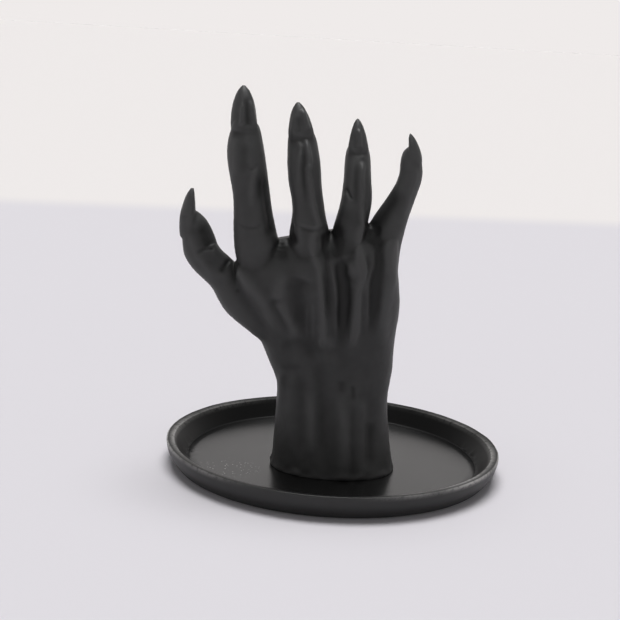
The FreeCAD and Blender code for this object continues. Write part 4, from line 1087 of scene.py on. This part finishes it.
def matt_cloth_on_floor(settings):
    """Woven cloth that ends behind the object, on a painted floor: both matt, so they show no highlight."""
    material, tree, shader = new_material("matt_cloth_on_floor")
    place = add_node(tree, "ShaderNodeNewGeometry").outputs["Position"]
    left, right = Vector(CLOTH_EDGE_LEFT) * MM, Vector(CLOTH_EDGE_RIGHT) * MM
    across = Vector((left.y - right.y, right.x - left.x, 0.0)).normalized()
    beyond = add_node(tree, "ShaderNodeVectorMath", {1: across}, {0: place}, operation="DOT_PRODUCT")
    edge = across.x * left.x + across.y * left.y
    soft = CLOTH_EDGE_SOFTNESS * MM
    share = add_node(tree, "ShaderNodeMapRange", {"From Min": edge - soft, "From Max": edge + soft},
                     {"Value": beyond.outputs["Value"]}, interpolation_type="SMOOTHSTEP")
    colour = add_node(tree, "ShaderNodeMix",
                      {"A": (*settings.floor_colour, 1.0), "B": (*settings.far_colour, 1.0)},
                      {0: share.outputs[0]}, data_type="RGBA")
    weave = add_node(tree, "ShaderNodeTexNoise", {"Scale": 1 / (CLOTH_WEAVE * MM), "Detail": 2.0},
                     {"Vector": place})
    bump = add_node(tree, "ShaderNodeBump", {"Strength": 0.05, "Distance": CLOTH_DEPTH * MM},
                    {"Height": weave.outputs["Fac"]})
    feed(tree, shader, {"Roughness": 1.0, "Specular IOR Level": 0.0},
         {"Base Color": colour.outputs["Result"], "Normal": bump.outputs["Normal"]})
    return material


def studio_world(settings):
    """Surroundings of a light tent: pale walls all round, a dark ceiling and one soft lamp overhead."""
    world = bpy.data.worlds.new("studio")
    world.use_nodes = True
    tree = world.node_tree
    tree.nodes.clear()
    way = add_node(tree, "ShaderNodeTexCoord").outputs["Generated"]
    height = add_node(tree, "ShaderNodeSeparateXYZ", links={"Vector": way}).outputs["Z"]
    full, top = (math.sin(math.radians(degrees)) for degrees in (WALL_FULL, WALL_TOP))
    share = add_node(tree, "ShaderNodeMapRange", {"From Min": top, "From Max": full}, {"Value": height},
                     interpolation_type="SMOOTHSTEP").outputs[0]
    walls = add_node(tree, "ShaderNodeMath", {1: WALL_LEVEL - CEILING_LEVEL, 2: CEILING_LEVEL}, {0: share},
                     operation="MULTIPLY_ADD")
    lean = math.radians(LAMP_LEAN)
    towards = add_node(tree, "ShaderNodeVectorMath", {1: (0.0, math.sin(lean), math.cos(lean))}, {0: way},
                       operation="DOT_PRODUCT")
    edge, full = (math.cos(math.radians(degrees)) for degrees in (LAMP_EDGE, LAMP_FULL))
    lamp = add_node(tree, "ShaderNodeMapRange",
                    {"From Min": edge, "From Max": full, "To Min": 0.0, "To Max": LAMP_LEVEL},
                    {"Value": towards.outputs["Value"]}, interpolation_type="SMOOTHSTEP")
    level = add_node(tree, "ShaderNodeMath", links={0: walls.outputs[0], 1: lamp.outputs[0]},
                     operation="ADD")
    glow = add_node(tree, "ShaderNodeBackground", {"Color": (1.0, 1.0, 1.0, 1.0)},
                    {"Strength": level.outputs[0]})
    plain = add_node(tree, "ShaderNodeBackground", {"Color": (*settings.wall_colour, 1.0), "Strength": 1.0})
    # The camera sees the plain wall all round. Mirrored rays see it where the walls stand, and the dark
    # ceiling and the lamp above them.
    path = add_node(tree, "ShaderNodeLightPath").outputs
    mirrored = add_node(tree, "ShaderNodeMath",
                        links={0: path["Is Glossy Ray"], 1: path["Is Transmission Ray"]}, operation="ADD")
    seen = add_node(tree, "ShaderNodeMath",
                    links={0: mirrored.outputs[0], 1: share, 2: path["Is Camera Ray"]},
                    operation="MULTIPLY_ADD", use_clamp=True)
    mixed = add_node(tree, "ShaderNodeMixShader", links={
        0: seen.outputs[0], 1: glow.outputs["Background"], 2: plain.outputs["Background"]})
    add_node(tree, "ShaderNodeOutputWorld", links={"Surface": mixed.outputs["Shader"]})
    return world


def stage_camera(lens):
    """Camera at the picture's place and turn."""
    data = bpy.data.cameras.new("camera")
    data.lens = lens
    data.sensor_width = CAMERA_FILM_WIDTH
    data.clip_end = CAMERA_REACH * MM
    camera = bpy.data.objects.new("camera", data)
    yaw, pitch, roll = (math.radians(degrees) for degrees in (CAMERA_YAW, CAMERA_PITCH, CAMERA_ROLL))
    forward = Vector((math.sin(yaw) * math.cos(pitch), math.cos(yaw) * math.cos(pitch), -math.sin(pitch)))
    right = Vector((math.cos(yaw), -math.sin(yaw), 0.0))
    up = right.cross(forward)
    turned_right = right * math.cos(roll) + up * math.sin(roll)
    turned_up = up * math.cos(roll) - right * math.sin(roll)
    turn = Matrix((turned_right, turned_up, -forward)).transposed()
    camera.matrix_world = Matrix.Translation(Vector(CAMERA_PLACE) * MM) @ turn.to_4x4()
    return camera


class OBJECT_OT_set_stage(bpy.types.Operator):
    """Sets up the camera, the pale floor and the studio's light"""

    bl_idname = "object.ring_holder_set_stage"
    bl_label = "Set stage"

    def execute(self, context):
        settings = context.scene.ring_holder_stage
        scene = context.scene
        scene.view_settings.view_transform = "Standard"
        camera = stage_camera(settings.lens)
        scene.collection.objects.link(camera)
        scene.camera = camera
        half = STAGE_SIZE / 2
        corners = [(-half, -half, 0.0), (half, -half, 0.0), (half, half, 0.0), (-half, half, 0.0)]
        floor = mesh_from("studio_floor", corners, [(0, 1, 2, 3)])
        floor.data.materials.append(matt_cloth_on_floor(settings))
        scene.world = studio_world(settings)
        return {"FINISHED"}


OPERATORS = (
    OBJECT_OT_cast_hand,
    OBJECT_OT_cast_tray,
    OBJECT_OT_finish_fixings,
    OBJECT_OT_finish_pads,
    OBJECT_OT_set_stage,
)


class VIEW3D_PT_ring_holder(bpy.types.Panel):
    """Lists the steps that dress the ring holder"""

    bl_label = "Ring holder"
    bl_idname = "VIEW3D_PT_ring_holder"
    bl_space_type = "VIEW_3D"
    bl_region_type = "UI"
    bl_category = "Ring holder"

    def draw(self, context):
        layout = self.layout
        scene = context.scene
        for settings in (scene.ring_holder_hand, scene.ring_holder_tray, scene.ring_holder_stage):
            box = layout.box()
            for name in settings.__annotations__:
                box.prop(settings, name)
        for operator in OPERATORS:
            layout.operator(operator.bl_idname)


SETTINGS = {
    "ring_holder_hand": HandSettings,
    "ring_holder_tray": TraySettings,
    "ring_holder_stage": StageSettings,
}


def register():
    """Registers the settings, the operators and the panel."""
    for name, group in SETTINGS.items():
        bpy.utils.register_class(group)
        setattr(bpy.types.Scene, name, PointerProperty(type=group))
    for operator in OPERATORS:
        bpy.utils.register_class(operator)
    bpy.utils.register_class(VIEW3D_PT_ring_holder)


def unregister():
    """Removes what register added."""
    bpy.utils.unregister_class(VIEW3D_PT_ring_holder)
    for operator in reversed(OPERATORS):
        bpy.utils.unregister_class(operator)
    for name, group in SETTINGS.items():
        delattr(bpy.types.Scene, name)
        bpy.utils.unregister_class(group)


def main():
    """Dresses the ring holder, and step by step."""
    register()
    bpy.ops.object.ring_holder_cast_hand()
    bpy.ops.object.ring_holder_cast_tray()
    bpy.ops.object.ring_holder_finish_fixings()
    bpy.ops.object.ring_holder_finish_pads()
    bpy.ops.object.ring_holder_set_stage()


if __name__ == "__main__":
    main()
